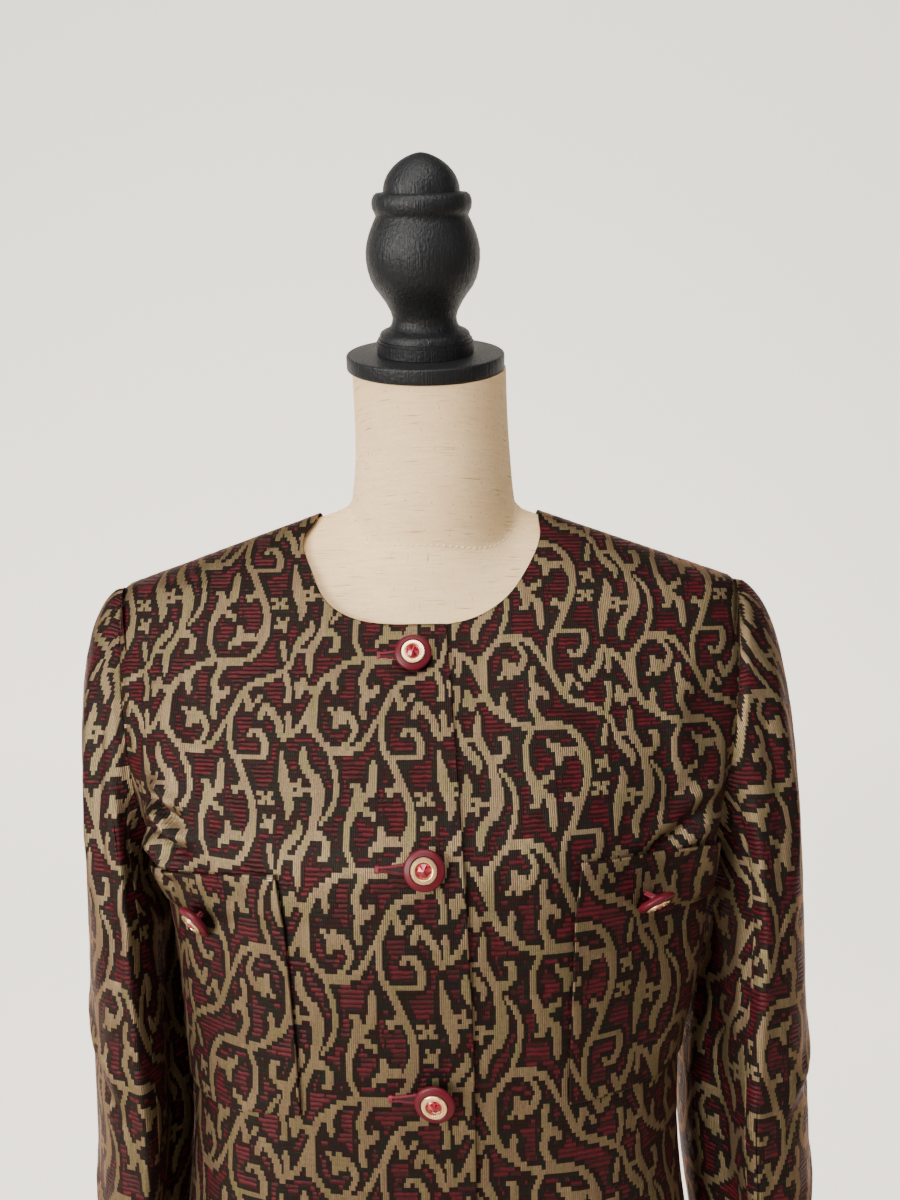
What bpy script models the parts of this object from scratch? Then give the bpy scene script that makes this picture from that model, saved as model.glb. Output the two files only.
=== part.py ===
"""A collarless tapestry jacket, buttoned on a limbless dress form with a pole and a round base.

Metres, +Z up. The floor is z = 0, the form's axis is x = y = 0, and the front faces -Y.
The wearer's right is at -X. Cloth walls are lofts through sections worked out from the tables below.
"""

import math

import bmesh
import bpy
import numpy as np
from mathutils import Matrix, Vector

# Driving dimensions of the jacket
CLOTH = 0.002
SEAM_GAP = 0.0003
HEM_Z = 0.770
NECK_POINT_Z, NECK_HALF_WIDTH = 1.360, 0.075
FRONT_NECK_DROP, BACK_NECK_DROP = 0.0764, 0.015
NECK_ROUNDNESS = 2.8
NECK_FLARE = {"right": 0.007, "left": 0.003}
NECK_FLARE_Z = 1.341
ARMHOLE_MID_Z, ARMHOLE_HALF_HEIGHT = 1.215, 0.097
ARMHOLE_LOW_X, ARMHOLE_TOP_X = 0.172, 0.210
ARMHOLE_FRONT, ARMHOLE_BACK = 0.047, 0.062
SHOULDER_Y = 0.010
SECTION_POWER = 2.5
LAP = 0.0215
LAP_LIFT = CLOTH + 0.0006
LAP_FADE = (0.032, 0.075)
BUTTON_LINE_X, BUTTON_LINE_LEAN = 0.002, 0.0116
BUTTON_LINE_LEANS_FROM, BUTTON_LINE_TOP = 1.0, 1.265

# Driving dimensions of the buttons
BUTTON_RADIUS = 0.0115
SHANK_RADIUS, SHANK_HEIGHT = 0.0028, 0.0018
RING_OUT, RING_IN = 0.64 * BUTTON_RADIUS, 0.405 * BUTTON_RADIUS
BUTTON_STEPS, STONE_STEPS = 14, 8

# Driving dimensions of the form and its stand
FORM_CLEARANCE = 0.003
FORM_THROAT_CLEARANCE, FORM_NAPE_CLEARANCE = 0.0055, 0.006
FORM_BOTTOM_Z = 0.700
FORM_COLUMNS = 32
THROAT_WIDTH = 0.72
NECK_LEAN = math.radians(27)
NECK_TOP = Vector((0.0, -0.0256, 1.4504))
CAP_RADIUS, CAP_HEIGHT = 0.0512, 0.0097
FINIAL_PLINTH = 0.0055
POLE_RADIUS = 0.0125
BASE_RADIUS, BASE_HEIGHT = 0.170, 0.012

# Worked out from the above
ARMHOLE_STEPS = 8
ARMPIT_Z = ARMHOLE_MID_Z - ARMHOLE_HALF_HEIGHT
SHOULDER_TIP_Z = ARMHOLE_MID_Z + ARMHOLE_HALF_HEIGHT
RIDGE_SLOPE = (ARMHOLE_TOP_X - NECK_HALF_WIDTH) / (NECK_POINT_Z - SHOULDER_TIP_Z)
NEAR = 1e-6

# The jacket's outside: half width at the side seams
SIDE = np.array([
    # height, half width
    (HEM_Z, 0.178),
    (0.860, 0.168),
    (0.955, 0.160),
    (1.040, 0.164),
    (ARMPIT_Z, ARMHOLE_LOW_X),
])

# The jacket's outside: depth at centre front and centre back
DEPTH = np.array([
    # height, front, back
    (HEM_Z, 0.1040, 0.104),
    (0.860, 0.1050, 0.094),
    (0.955, 0.1080, 0.086),
    (1.040, 0.1150, 0.092),
    (1.118, 0.1195, 0.099),
    (1.151, 0.1180, 0.101),
    (1.205, 0.0880, 0.102),
    (1.265, 0.0535, 0.096),
    (1.285, 0.0430, 0.092),
    (1.312, 0.0280, 0.085),
    (1.345, 0.0090, 0.072),
    (1.375, -0.005, 0.055),
])

# The dress form's torso, inside the jacket
TORSO = np.array([
    # height, side, front, back
    (FORM_BOTTOM_Z, 0.134, 0.074, 0.076),
    (0.712, 0.144, 0.082, 0.085),
    (0.780, 0.150, 0.086, 0.089),
    (0.860, 0.143, 0.086, 0.082),
    (0.955, 0.124, 0.084, 0.068),
    (1.040, 0.138, 0.098, 0.078),
    (1.118, 0.158, 0.1130, 0.091),
    (1.151, 0.164, 0.1110, 0.095),
    (1.205, 0.172, 0.0815, 0.098),
    (1.265, 0.181, 0.0470, 0.092),
    (1.285, 0.184, 0.0365, 0.088),
    (1.300, 0.182, 0.0285, 0.084),
    (1.310, 0.177, 0.0240, 0.080),
    (1.318, 0.168, 0.0185, 0.077),
    (1.326, 0.156, 0.0140, 0.074),
])
TORSO_LEVELS = (FORM_BOTTOM_Z, 0.712, 0.745, 0.780, 0.820, 0.860, 0.905, 0.955, 1.000, 1.040, 1.080, 1.118,
                1.151, 1.180, 1.210, 1.240, 1.265, 1.285, 1.300, 1.310, 1.318, 1.326, 1.334, 1.342,
                1.350, 1.358, 1.366)

# The neck above the torso, by distance down its leaning axis from the cap
NECK = np.array([
    # down, half width, front, back
    (SEAM_GAP, 0.0507, 0.0495, 0.0490),
    (0.0300, 0.0520, 0.0530, 0.0470),
    (0.0550, 0.0545, 0.0580, 0.0440),
    (0.0770, 0.0580, 0.0620, 0.0410),
    (0.1000, 0.0615, 0.0655, 0.0380),
    (0.1150, 0.0635, 0.0670, 0.0350),
    (0.1400, 0.0600, 0.0600, 0.0270),
])

# How far the base of the throat fills out the torso, inside the jacket's neckline
THROAT = np.array([
    # height, fullness
    (1.288, 0.000),
    (1.305, 0.007),
    (1.332, 0.015),
    (1.345, 0.010),
    (1.365, 0.000),
])

# The hanging sleeves; the front of one that swings stands nearer the body than its back
SLEEVE = {
    "left": [
        # height, inner x, outer x, centre y, half depth, swing
        (1.090, 0.1790, 0.2455, 0.008, 0.066, 0.000),
        (1.030, 0.1715, 0.2465, 0.009, 0.070, 0.000),
        (0.970, 0.1670, 0.2465, 0.007, 0.069, 0.000),
        (0.910, 0.1690, 0.2460, 0.002, 0.065, 0.000),
        (0.850, 0.1760, 0.2460, -0.006, 0.060, 0.000),
        (0.790, 0.1830, 0.2465, -0.015, 0.056, 0.000),
        (0.735, 0.1870, 0.2470, -0.023, 0.052, 0.000),
    ],
    "right": [
        (1.090, 0.1735, 0.2345, 0.006, 0.066, 0.012),
        (1.030, 0.1670, 0.2335, 0.007, 0.071, 0.014),
        (0.970, 0.1640, 0.2310, 0.005, 0.071, 0.016),
        (0.910, 0.1665, 0.2300, 0.001, 0.067, 0.016),
        (0.850, 0.1725, 0.2330, -0.006, 0.062, 0.014),
        (0.790, 0.1800, 0.2370, -0.015, 0.058, 0.010),
        (0.735, 0.1850, 0.2410, -0.023, 0.054, 0.006),
    ],
}
SLEEVE_HEAD_STEPS = (0.0, 0.08, 0.19, 0.33, 0.48, 0.64, 0.82)
SLEEVE_HEAD_FLARE, SLEEVE_HEAD_FALL = 0.62, 0.95
UNDERARM_FLARE, UNDERARM_FALL = 0.035, 1.6
SLEEVE_SEAM_STEP = 5

# Columns of a panel, as shares of its width, and the columns and rows under a pocket
FRONT_COLUMNS = (0, 0.09, 0.18, 0.27, 0.36, 0.45, 0.527, 0.62, 0.71, 0.785, 0.85, 0.905, 0.95, 0.983, 1)
BACK_COLUMNS = (0, 0.12, 0.24, 0.36, 0.48, 0.59, 0.69, 0.78, 0.86, 0.925, 0.975, 1)
POCKET_FIRST, POCKET_LAST = 6, 13
POCKET_BOTTOM_Z = 1.010
LOWER_ROWS = (HEM_Z, 0.800, 0.835, 0.870, 0.905, 0.940, 0.975, POCKET_BOTTOM_Z, 1.038, 1.065, 1.092)
POCKET_ROWS_ABOVE = 2
POCKET_DROP = {
    # side: drop at its inner edge, drop at its outer edge
    "right": (0.000, 0.008),
    "left": (-0.004, -0.004),
}
RIDGE_ROWS = 6
NECK_ROW_CROWDING = 0.1
EDGE_MARGIN = 0.001

# The largest folds of the fronts, as soft ridges along a line
FOLDS = {
    "right": [
        # top x, top z, bottom x, bottom z, half width, height
        (0.163, 1.250, 0.158, 1.120, 0.016, 0.006),
        (0.120, 1.000, 0.128, 0.800, 0.026, 0.007),
    ],
    "left": [
        (0.172, 1.190, 0.156, 1.045, 0.018, 0.010),
        (0.118, 0.985, 0.126, 0.800, 0.028, 0.007),
    ],
}

# The front buttons and the way each hangs
FRONT_BUTTONS = {
    # name: height, turn toward +X and turn upward in degrees, how far the wall's facets lie under its curve
    "button_1": (1.2648, 0, -8, 0.0000),
    "button_2": (1.1508, -3, -6, 0.0007),
    "button_3": (1.0225, -9, -8, 0.0003),
    "button_4": (0.8940, 0, 0, 0.0000),
}
POCKET_BUTTONS = {
    # name: side, row down from the pocket's top, column out from its inner edge, face direction, lift
    "button_pocket_right": ("right", 1.15, 3.08, (-0.60, -0.55, -0.58), 0.0027),
    "button_pocket_left": ("left", 1.00, 2.23, (0.38, -0.45, -0.81), 0.0067),
}


def smooth_column(table, column, height):
    """A column of a table at a height, along a smooth curve through its rows."""
    heights, values = table[:, 0], table[:, column]
    slopes = np.gradient(values, heights)
    height = float(np.clip(height, heights[0], heights[-1]))
    k = int(np.clip(np.searchsorted(heights, height) - 1, 0, len(heights) - 2))
    step = heights[k + 1] - heights[k]
    t = (height - heights[k]) / step
    start = (1 + 2 * t) * (1 - t) ** 2 * values[k] + t * (1 - t) ** 2 * step * slopes[k]
    end = t * t * (3 - 2 * t) * values[k + 1] - t * t * (1 - t) * step * slopes[k + 1]
    return start + end


def ease(value, low, high):
    """0 below low, 1 above high, smooth between."""
    t = min(max((value - low) / (high - low), 0.0), 1.0)
    return t * t * (3 - 2 * t)


def centre_front_x(z):
    """The line of the buttons, which leans to the wearer's right near the neck."""
    share = (z - BUTTON_LINE_LEANS_FROM) / (BUTTON_LINE_TOP - BUTTON_LINE_LEANS_FROM)
    return BUTTON_LINE_X - BUTTON_LINE_LEAN * min(max(share, 0.0), 1.1) ** 1.7


def armhole_angle(z):
    return math.acos(min(max((z - ARMHOLE_MID_Z) / ARMHOLE_HALF_HEIGHT, -1.0), 1.0))


def armhole_height(angle):
    return ARMHOLE_MID_Z + ARMHOLE_HALF_HEIGHT * math.cos(angle)


def armhole_rows():
    """Heights up the armhole, from the armpit to the shoulder tip."""
    return [armhole_height(math.pi * (1 - k / ARMHOLE_STEPS)) for k in range(ARMHOLE_STEPS + 1)]


def armhole_x(z):
    share = (1 + math.cos(armhole_angle(z))) / 2
    return ARMHOLE_LOW_X + (ARMHOLE_TOP_X - ARMHOLE_LOW_X) * share ** 0.8


def armhole_depth(z, back):
    """How far the armhole's edge stands before or behind the line of the side seam and shoulder."""
    angle = armhole_angle(z)
    if back:
        return ARMHOLE_BACK * math.sin(angle) ** 1.2 * (1 - 0.1 * math.cos(angle))
    return ARMHOLE_FRONT * math.sin(angle) ** 1.3 * (1 - 0.25 * math.cos(angle))


def ridge_x(z):
    return NECK_HALF_WIDTH + RIDGE_SLOPE * (NECK_POINT_Z - z)


def side_y(z):
    return SHOULDER_Y * ease(z, ARMPIT_Z, SHOULDER_TIP_Z)


def side_x(z):
    """Half width at the side seam, the armhole or the shoulder seam."""
    if z <= ARMPIT_Z:
        return smooth_column(SIDE, 1, z)
    if z < SHOULDER_TIP_Z:
        return armhole_x(z)
    return ridge_x(z)


def body_y(x, z, back):
    """The depth of the jacket's outside at a place on the front or the back."""
    edge = armhole_depth(z, back)
    power = 0.5 + 0.5 * (edge / (ARMHOLE_BACK if back else ARMHOLE_FRONT)) ** 2
    round_off = max(1 - min(abs(x) / side_x(z), 1.0) ** SECTION_POWER, 0.0) ** min(power, 1.0)
    if back:
        return side_y(z) + edge + (smooth_column(DEPTH, 2, z) - side_y(z) - edge) * round_off
    return side_y(z) - edge - (smooth_column(DEPTH, 1, z) + side_y(z) - edge) * round_off


def neck_edge(angle, drop):
    """Half width and height of the neckline; the angle runs from its low point to the shoulder."""
    share = 2 / NECK_ROUNDNESS
    return NECK_HALF_WIDTH * math.sin(angle) ** share, NECK_POINT_Z - drop * math.cos(angle) ** share


def front_rows(side, sign):
    """Each row of a front: x and z at its front edge or neckline, and z at its side."""
    corner = NECK_POINT_Z - FRONT_NECK_DROP
    rows = []
    for z in [*LOWER_ROWS, *armhole_rows()]:
        if z < corner + EDGE_MARGIN:
            rows.append((sign * centre_front_x(z) - LAP, z, z))
    sides = [z for z in armhole_rows() if z > corner + EDGE_MARGIN]
    tip = 0.99
    for k in range(1, RIDGE_ROWS + 1):
        sides.append(SHOULDER_TIP_Z + (NECK_POINT_Z - SHOULDER_TIP_Z) * tip * k / RIDGE_ROWS)
    for k, side_z in enumerate(sides, 1):
        share = k / len(sides)
        share -= NECK_ROW_CROWDING * math.sin(2 * math.pi * share)
        half, z = neck_edge(math.pi / 2 * tip * share, FRONT_NECK_DROP)
        lean = sign * centre_front_x(corner) * (NECK_POINT_Z - z) / FRONT_NECK_DROP
        flare = ease(z, SHOULDER_TIP_Z, NECK_FLARE_Z) * (1 - ease(z, NECK_FLARE_Z, NECK_POINT_Z))
        edge_x = half + lean + NECK_FLARE[side] * flare
        rows.append((min(edge_x, ridge_x(side_z) - EDGE_MARGIN), z, side_z))
    return rows


def back_rows():
    corner = NECK_POINT_Z - BACK_NECK_DROP
    yoke_steps = 3
    yoke = [SHOULDER_TIP_Z + (corner - SHOULDER_TIP_Z) * k / yoke_steps for k in range(1, yoke_steps + 1)]
    rows = [(0.0, z, z) for z in [*LOWER_ROWS, *armhole_rows(), *yoke]]
    neck_steps = 4
    tip = 0.985
    for k in range(1, neck_steps + 1):
        share = tip * k / neck_steps
        half, z = neck_edge(math.pi / 2 * share, BACK_NECK_DROP)
        side_z = corner + BACK_NECK_DROP * share
        rows.append((min(half, ridge_x(side_z) - EDGE_MARGIN), z, side_z))
    return rows


def pocket_drop(side, share, z):
    """How far the rows of a front are let down, or raised, under its pocket."""
    inner, outer = POCKET_DROP[side]
    drop = inner + (outer - inner) * ease(share, 0.5, 0.95)
    drop *= ease(share, 0.25, 0.5) * (1 - ease(share, 0.96, 1.0))
    return drop * ease(z, 0.93, 1.0) * (1 - ease(z, 1.15, 1.22))


def fold_height(side, x, z):
    total = 0.0
    for top_x, top_z, low_x, low_z, half_width, height in FOLDS[side]:
        along = (top_z - z) / (top_z - low_z)
        across = (x - top_x - (low_x - top_x) * along) / half_width
        ends = ease(along, -0.3, 0.3) * (1 - ease(along, 0.7, 1.3))
        total += height * ends * math.exp(-across * across)
    return total


def body_normal(x, z, back):
    """The outward normal of the jacket's outside, for the +X half."""
    share = min(x / side_x(z), 1.0)
    step = 0.002

    def place(part_of_width, height):
        across = part_of_width * side_x(height)
        return np.array((across, body_y(across, height, back), height))

    across = place(min(share + step, 1.0), z) - place(share - step, z)
    along = place(share, z + step / 2) - place(share, z - step / 2)
    normal = np.cross(along, across) if back else np.cross(across, along)
    return normal / np.linalg.norm(normal)


def seam_normal(z, sign):
    """The outward normal at the side seam or the shoulder seam, level from front to back."""
    slope = (side_x(z + EDGE_MARGIN) - side_x(z - EDGE_MARGIN)) / (2 * EDGE_MARGIN)
    if abs(z - ARMPIT_Z) < NEAR:
        slope = 0.0
    if abs(z - SHOULDER_TIP_Z) < NEAR:
        slope = -RIDGE_SLOPE
    upright = np.array((sign, 0.0, -slope))
    return upright / np.linalg.norm(upright)


def panel(rows, columns, sign, back, side=None):
    """Outside points and outward normals of a front or half a back, on the +X side for sign 1."""
    points = np.zeros((len(rows), len(columns), 3))
    normals = np.zeros_like(points)
    for r, (edge_x, edge_z, side_z) in enumerate(rows):
        for c, share in enumerate(columns):
            z = edge_z + (side_z - edge_z) * share
            if side:
                z -= pocket_drop(side, share, z)
            x = edge_x + (side_x(z) - edge_x) * share
            points[r, c] = (sign * x, body_y(x, z, back), z)
            normals[r, c] = body_normal(x, z, back) * (sign, 1, 1)
        if side_z <= ARMPIT_Z + NEAR or side_z >= SHOULDER_TIP_Z - NEAR:
            normals[r, -1] = seam_normal(side_z, sign)
            points[r, -1, 1] += SEAM_GAP / 2 if back else -SEAM_GAP / 2
        for c, share in enumerate(columns if side else ()):
            x, _, z = points[r, c]
            lift = fold_height(side, abs(x), z) * (1 - ease(share, 0.9, 1.0))
            if side == "left":
                lift -= LAP_LIFT * (1 - ease(x - centre_front_x(z), *LAP_FADE))
            points[r, c] += lift * normals[r, c]
    return points, normals


def material(name, colour, roughness, metallic=0.0):
    made = bpy.data.materials.new(name)
    made.use_nodes = True
    shader = made.node_tree.nodes["Principled BSDF"]
    shader.inputs["Base Color"].default_value = (*colour, 1.0)
    shader.inputs["Roughness"].default_value = roughness
    shader.inputs["Metallic"].default_value = metallic
    return made


def add_object(name, mesh, finish):
    made = bpy.data.objects.new(name, mesh)
    mesh.materials.append(finish)
    parts.objects.link(made)
    return made


def smooth_mesh(name, shaped):
    """A smooth-shaded mesh from a bmesh, with its faces pointing out."""
    bmesh.ops.recalc_face_normals(shaped, faces=shaped.faces)
    mesh = bpy.data.meshes.new(name)
    shaped.to_mesh(mesh)
    shaped.free()
    mesh.shade_smooth()
    mesh.set_sharp_from_angle(angle=math.radians(40))
    return mesh


def mesh_from(name, vertices, faces):
    shaped = bmesh.new()
    made = [shaped.verts.new(vertex) for vertex in vertices]
    for face in faces:
        shaped.faces.new([made[k] for k in face])
    return smooth_mesh(name, shaped)


def wall_mesh(name, outer, inner):
    """A closed sheet between two like grids of points."""
    rows, columns = outer.shape[:2]
    count = rows * columns

    def corner(layer, r, c):
        return layer * count + r * columns + c

    faces = []
    for r in range(rows - 1):
        for c in range(columns - 1):
            first = [corner(0, r, c), corner(0, r, c + 1), corner(0, r + 1, c + 1)]
            second = [corner(0, r, c), corner(0, r + 1, c + 1), corner(0, r + 1, c)]
            for outside in (first, second):
                faces.append(outside)
                faces.append([count + k for k in reversed(outside)])
    rim = [(0, c) for c in range(columns)]
    rim += [(r, columns - 1) for r in range(1, rows)]
    rim += [(rows - 1, c) for c in range(columns - 2, -1, -1)]
    rim += [(r, 0) for r in range(rows - 2, 0, -1)]
    for start, end in zip(rim, rim[1:] + rim[:1]):
        faces.append([corner(0, *start), corner(1, *start), corner(1, *end), corner(0, *end)])
    vertices = np.concatenate([outer.reshape(-1, 3), inner.reshape(-1, 3)])
    return mesh_from(name, vertices.tolist(), faces)


def ring_loft(name, rings):
    """A closed mesh through rings of points, with a flat face on each end ring."""
    count = len(rings[0])
    vertices = [tuple(p) for ring in rings for p in ring]
    faces = [list(range(count)), [(len(rings) - 1) * count + k for k in range(count)]]
    for r in range(len(rings) - 1):
        for k in range(count):
            near, far = r * count + k, r * count + (k + 1) % count
            faces.append([near, far, far + count, near + count])
    return mesh_from(name, vertices, faces)


def turned(name, profile, steps, finish, place):
    """A profile of radius and height, listed from top to bottom, turned round its own Z."""
    mesh = bpy.data.meshes.new(name)
    edges = [(k, k + 1) for k in range(len(profile) - 1)]
    is_ring = profile[0][0] > 0
    if is_ring:
        edges.append((len(profile) - 1, 0))
    mesh.from_pydata([(radius, 0.0, height) for radius, height in profile], edges, [])
    made = add_object(name, mesh, finish)
    screw = made.modifiers.new("Turn", "SCREW")
    screw.steps = screw.render_steps = steps
    screw.use_merge_vertices = True
    screw.merge_threshold = 0.00001
    screw.use_smooth_shade = True
    made.matrix_world = place


def standing_on(point, direction):
    """A frame at a point with its Z along a direction."""
    turn = Vector(direction).to_track_quat("Z", "Y").to_matrix().to_4x4()
    return Matrix.Translation(Vector(point)) @ turn


def build_fronts():
    grids = {}
    for side, sign in (("right", -1), ("left", 1)):
        points, normals = panel(front_rows(side, sign), FRONT_COLUMNS, sign, False, side)
        name = f"front_{side}"
        add_object(name, wall_mesh(name, points, points - CLOTH * normals), tapestry)
        grids[side] = (points, normals)
    return grids


def build_back():
    """Two mirrored halves, joined where they meet at centre back."""
    half, normals = panel(back_rows(), BACK_COLUMNS, 1, True)
    normals[:, 0, 0] = 0.0
    inner = half - CLOTH * normals
    shaped = bmesh.new()
    for flip in (1, -1):
        turn = np.array((flip, 1, 1))
        shaped.from_mesh(wall_mesh("back_half", half * turn, inner * turn))
    middle = [face for face in shaped.faces if all(abs(v.co.x) < NEAR for v in face.verts)]
    bmesh.ops.delete(shaped, geom=middle, context="FACES_ONLY")
    meeting = [v for v in shaped.verts if abs(v.co.x) < NEAR]
    bmesh.ops.remove_doubles(shaped, verts=meeting, dist=0.00001)
    add_object("back", smooth_mesh("back", shaped), tapestry)


def sleeve_point(row, angle):
    """A point of a level section of a sleeve; the angle runs from its outer side round the front."""
    height, inner_x, outer_x, centre_y, half_depth, swing = row
    x = (inner_x + outer_x) / 2 + (outer_x - inner_x) / 2 * math.cos(angle) - swing * math.sin(angle)
    return Vector((x, centre_y - half_depth * math.sin(angle), height))


def sleeve_grid(side, sign):
    """Rings of a sleeve from armhole to cuff; columns run from the top round the front and back."""
    steps = 2 * ARMHOLE_STEPS
    angles = [2 * math.pi * k / steps for k in range(steps)]
    first = SLEEVE[side][0]
    underarm_drop = ARMPIT_Z - first[0]
    rings = []
    for t in SLEEVE_HEAD_STEPS:
        ring = []
        for angle in angles:
            z = armhole_height(angle)
            depth = -armhole_depth(z, False) if angle <= math.pi else armhole_depth(z, True)
            start = Vector((armhole_x(z) + SEAM_GAP, side_y(z) + depth, z))
            end = sleeve_point(first, angle)
            length = (end - start).length
            high = (1 + math.cos(angle)) / 2
            flare = SLEEVE_HEAD_FLARE * high * length + UNDERARM_FLARE * (1 - high)
            fall = SLEEVE_HEAD_FALL * high * length + UNDERARM_FALL * (1 - high) * underarm_drop
            out = flare * Vector((0.95, 0.0, -0.30 * high))
            down = fall * Vector((0.0, 0.0, -1.0))
            ring.append(start * (1 - t) ** 2 * (1 + 2 * t) + end * t * t * (3 - 2 * t)
                        + out * t * (1 - t) ** 2 - down * t * t * (1 - t))
        rings.append(ring)
    for row in SLEEVE[side]:
        rings.append([sleeve_point(row, angle) for angle in angles])
    points = np.array([[tuple(p) for p in ring] for ring in rings])
    points[:, :, 0] *= sign
    return points


def ring_normals(points, sign):
    """Outward unit normals of a tube of points, rings by columns."""
    wrapped = np.concatenate([points[:, -1:], points, points[:, :1]], axis=1)
    around = np.gradient(wrapped, axis=1)[:, 1:-1]
    along = np.gradient(points, axis=0)
    normals = sign * np.cross(around, along)
    return normals / np.linalg.norm(normals, axis=2, keepdims=True)


def build_sleeves():
    """Each sleeve is cut in two: a wide top piece and a narrow one under the arm."""
    for side, sign in (("right", -1), ("left", 1)):
        points = sleeve_grid(side, sign)
        normals = ring_normals(points, sign)
        count = points.shape[1]
        seam = SLEEVE_SEAM_STEP
        pieces = {
            "top": [k % count for k in range(-seam, seam + 1)],
            "under": list(range(seam, count - seam + 1)),
        }
        for piece, columns in pieces.items():
            outer = points[:, columns].copy()
            for edge, inward in ((0, 1), (-1, -2)):
                step = outer[:, inward] - outer[:, edge]
                outer[:, edge] += step / np.linalg.norm(step, axis=1, keepdims=True) * SEAM_GAP / 2
            inner = outer - CLOTH * normals[:, columns]
            inner[0, :, 0] = outer[0, :, 0]
            name = f"sleeve_{piece}_{side}"
            add_object(name, wall_mesh(name, outer, inner), tapestry)


def build_pockets(fronts):
    """A patch on each front, from the front's own points moved out."""
    pockets = {}
    bottom = LOWER_ROWS.index(POCKET_BOTTOM_Z)
    top = len(LOWER_ROWS) + POCKET_ROWS_ABOVE
    block = (slice(bottom, top + 1), slice(POCKET_FIRST, POCKET_LAST + 1))
    for side, (points, normals) in fronts.items():
        inner = points[block] + SEAM_GAP * normals[block]
        outer = points[block] + (SEAM_GAP + CLOTH) * normals[block]
        name = f"pocket_{side}"
        add_object(name, wall_mesh(name, outer, inner), tapestry)
        pockets[side] = (outer[::-1], normals[block][::-1])
    return pockets


def add_button(name, place):
    """A domed button on a short shank, with a gilt ring and a pointed stone set in its face."""
    rim = BUTTON_RADIUS
    face, crown = 0.0054, 0.0064
    body = [(0.0, face), (RING_OUT + 0.0004, face), (0.8 * rim, crown), (0.94 * rim, 0.0058),
            (rim, 0.0044), (0.95 * rim, 0.0031), (0.7 * rim, SHANK_HEIGHT), (SHANK_RADIUS, SHANK_HEIGHT),
            (SHANK_RADIUS, SEAM_GAP), (0.0, SEAM_GAP)]
    seat = face + SEAM_GAP
    ring = [(RING_IN + 0.0005, seat + 0.0016), (RING_OUT - 0.0006, seat + 0.0016),
            (RING_OUT, seat + 0.0008), (RING_OUT - 0.0003, seat), (RING_IN + 0.0003, seat),
            (RING_IN, seat + 0.0009)]
    stone = [(0.0, seat + 0.0027), (0.55 * RING_IN, seat + 0.0017),
             (RING_IN - SEAM_GAP, seat + 0.0006), (RING_IN - SEAM_GAP, seat), (0.0, seat)]
    turned(name, body, BUTTON_STEPS, burgundy, place)
    turned(f"{name}_ring", ring, BUTTON_STEPS, gilt, place)
    turned(f"{name}_stone", stone, STONE_STEPS, red_glass, place)


def on_grid(grid, row, column):
    """A point between four points of a grid."""
    r, c = int(row), int(column)
    down, across = row - r, column - c
    near = grid[r, c] * (1 - across) + grid[r, c + 1] * across
    far = grid[r + 1, c] * (1 - across) + grid[r + 1, c + 1] * across
    return near * (1 - down) + far * down


def build_buttons(pockets):
    step = 0.01
    for name, (height, sideways, upward, sag) in FRONT_BUTTONS.items():
        x = centre_front_x(height)
        slope = (body_y(x, height + step, False) - body_y(x, height - step, False)) / (2 * step)
        facing = Vector((0.0, -1.0, slope)).normalized()
        hang = Matrix.Rotation(math.radians(sideways), 3, "Z")
        hang @= Matrix.Rotation(math.radians(-upward), 3, "X")
        lift = SHANK_RADIUS * math.sin(math.radians(max(abs(sideways), abs(upward)))) + SEAM_GAP - sag
        seat = Vector((x, body_y(x, height, False), height)) + lift * facing
        add_button(name, standing_on(seat, hang @ facing))
    for name, (side, row, column, direction, lift) in POCKET_BUTTONS.items():
        points, normals = pockets[side]
        seat = on_grid(points, row, column) + lift * on_grid(normals, row, column)
        add_button(name, standing_on(seat, direction))


def torso_ring(z):
    """A level section of the torso, kept inside the jacket."""
    if z <= TORSO[-1, 0]:
        half_width, front, back = (smooth_column(TORSO, column, z) for column in (1, 2, 3))
    else:
        half_width = ridge_x(z + FORM_CLEARANCE)
        front = smooth_column(DEPTH, 1, z) - FORM_THROAT_CLEARANCE
        back = smooth_column(DEPTH, 2, z) - FORM_NAPE_CLEARANCE
    opening = 0.0
    if z > NECK_POINT_Z - FRONT_NECK_DROP:
        share = max((NECK_POINT_Z - z) / FRONT_NECK_DROP, 0.0)
        opening = THROAT_WIDTH * NECK_HALF_WIDTH * (1 - share ** NECK_ROUNDNESS) ** (1 / NECK_ROUNDNESS)
    fullness = np.interp(z, THROAT[:, 0], THROAT[:, 1])
    ring = []
    for k in range(FORM_COLUMNS):
        angle = 2 * math.pi * k / FORM_COLUMNS
        x = half_width * math.copysign(abs(math.sin(angle)) ** (2 / SECTION_POWER), math.sin(angle))
        if math.cos(angle) > 0:
            y = side_y(z) - (front + side_y(z)) * math.cos(angle)
            if abs(x) < opening:
                y -= fullness * (1 - (x / opening) ** 2) ** 2
        else:
            y = side_y(z) - (back - side_y(z)) * math.cos(angle)
        ring.append((x, y, z))
    return ring


def neck_rings(axis, ahead):
    rings = []
    for down, half_width, front, back in NECK.tolist():
        ring = []
        for k in range(FORM_COLUMNS):
            angle = 2 * math.pi * k / FORM_COLUMNS
            depth = (front if math.cos(angle) > 0 else back) * math.cos(angle)
            across = Vector((half_width * math.sin(angle), 0.0, 0.0))
            ring.append(NECK_TOP - down * axis + depth * ahead + across)
        rings.append(ring)
    return rings


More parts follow.
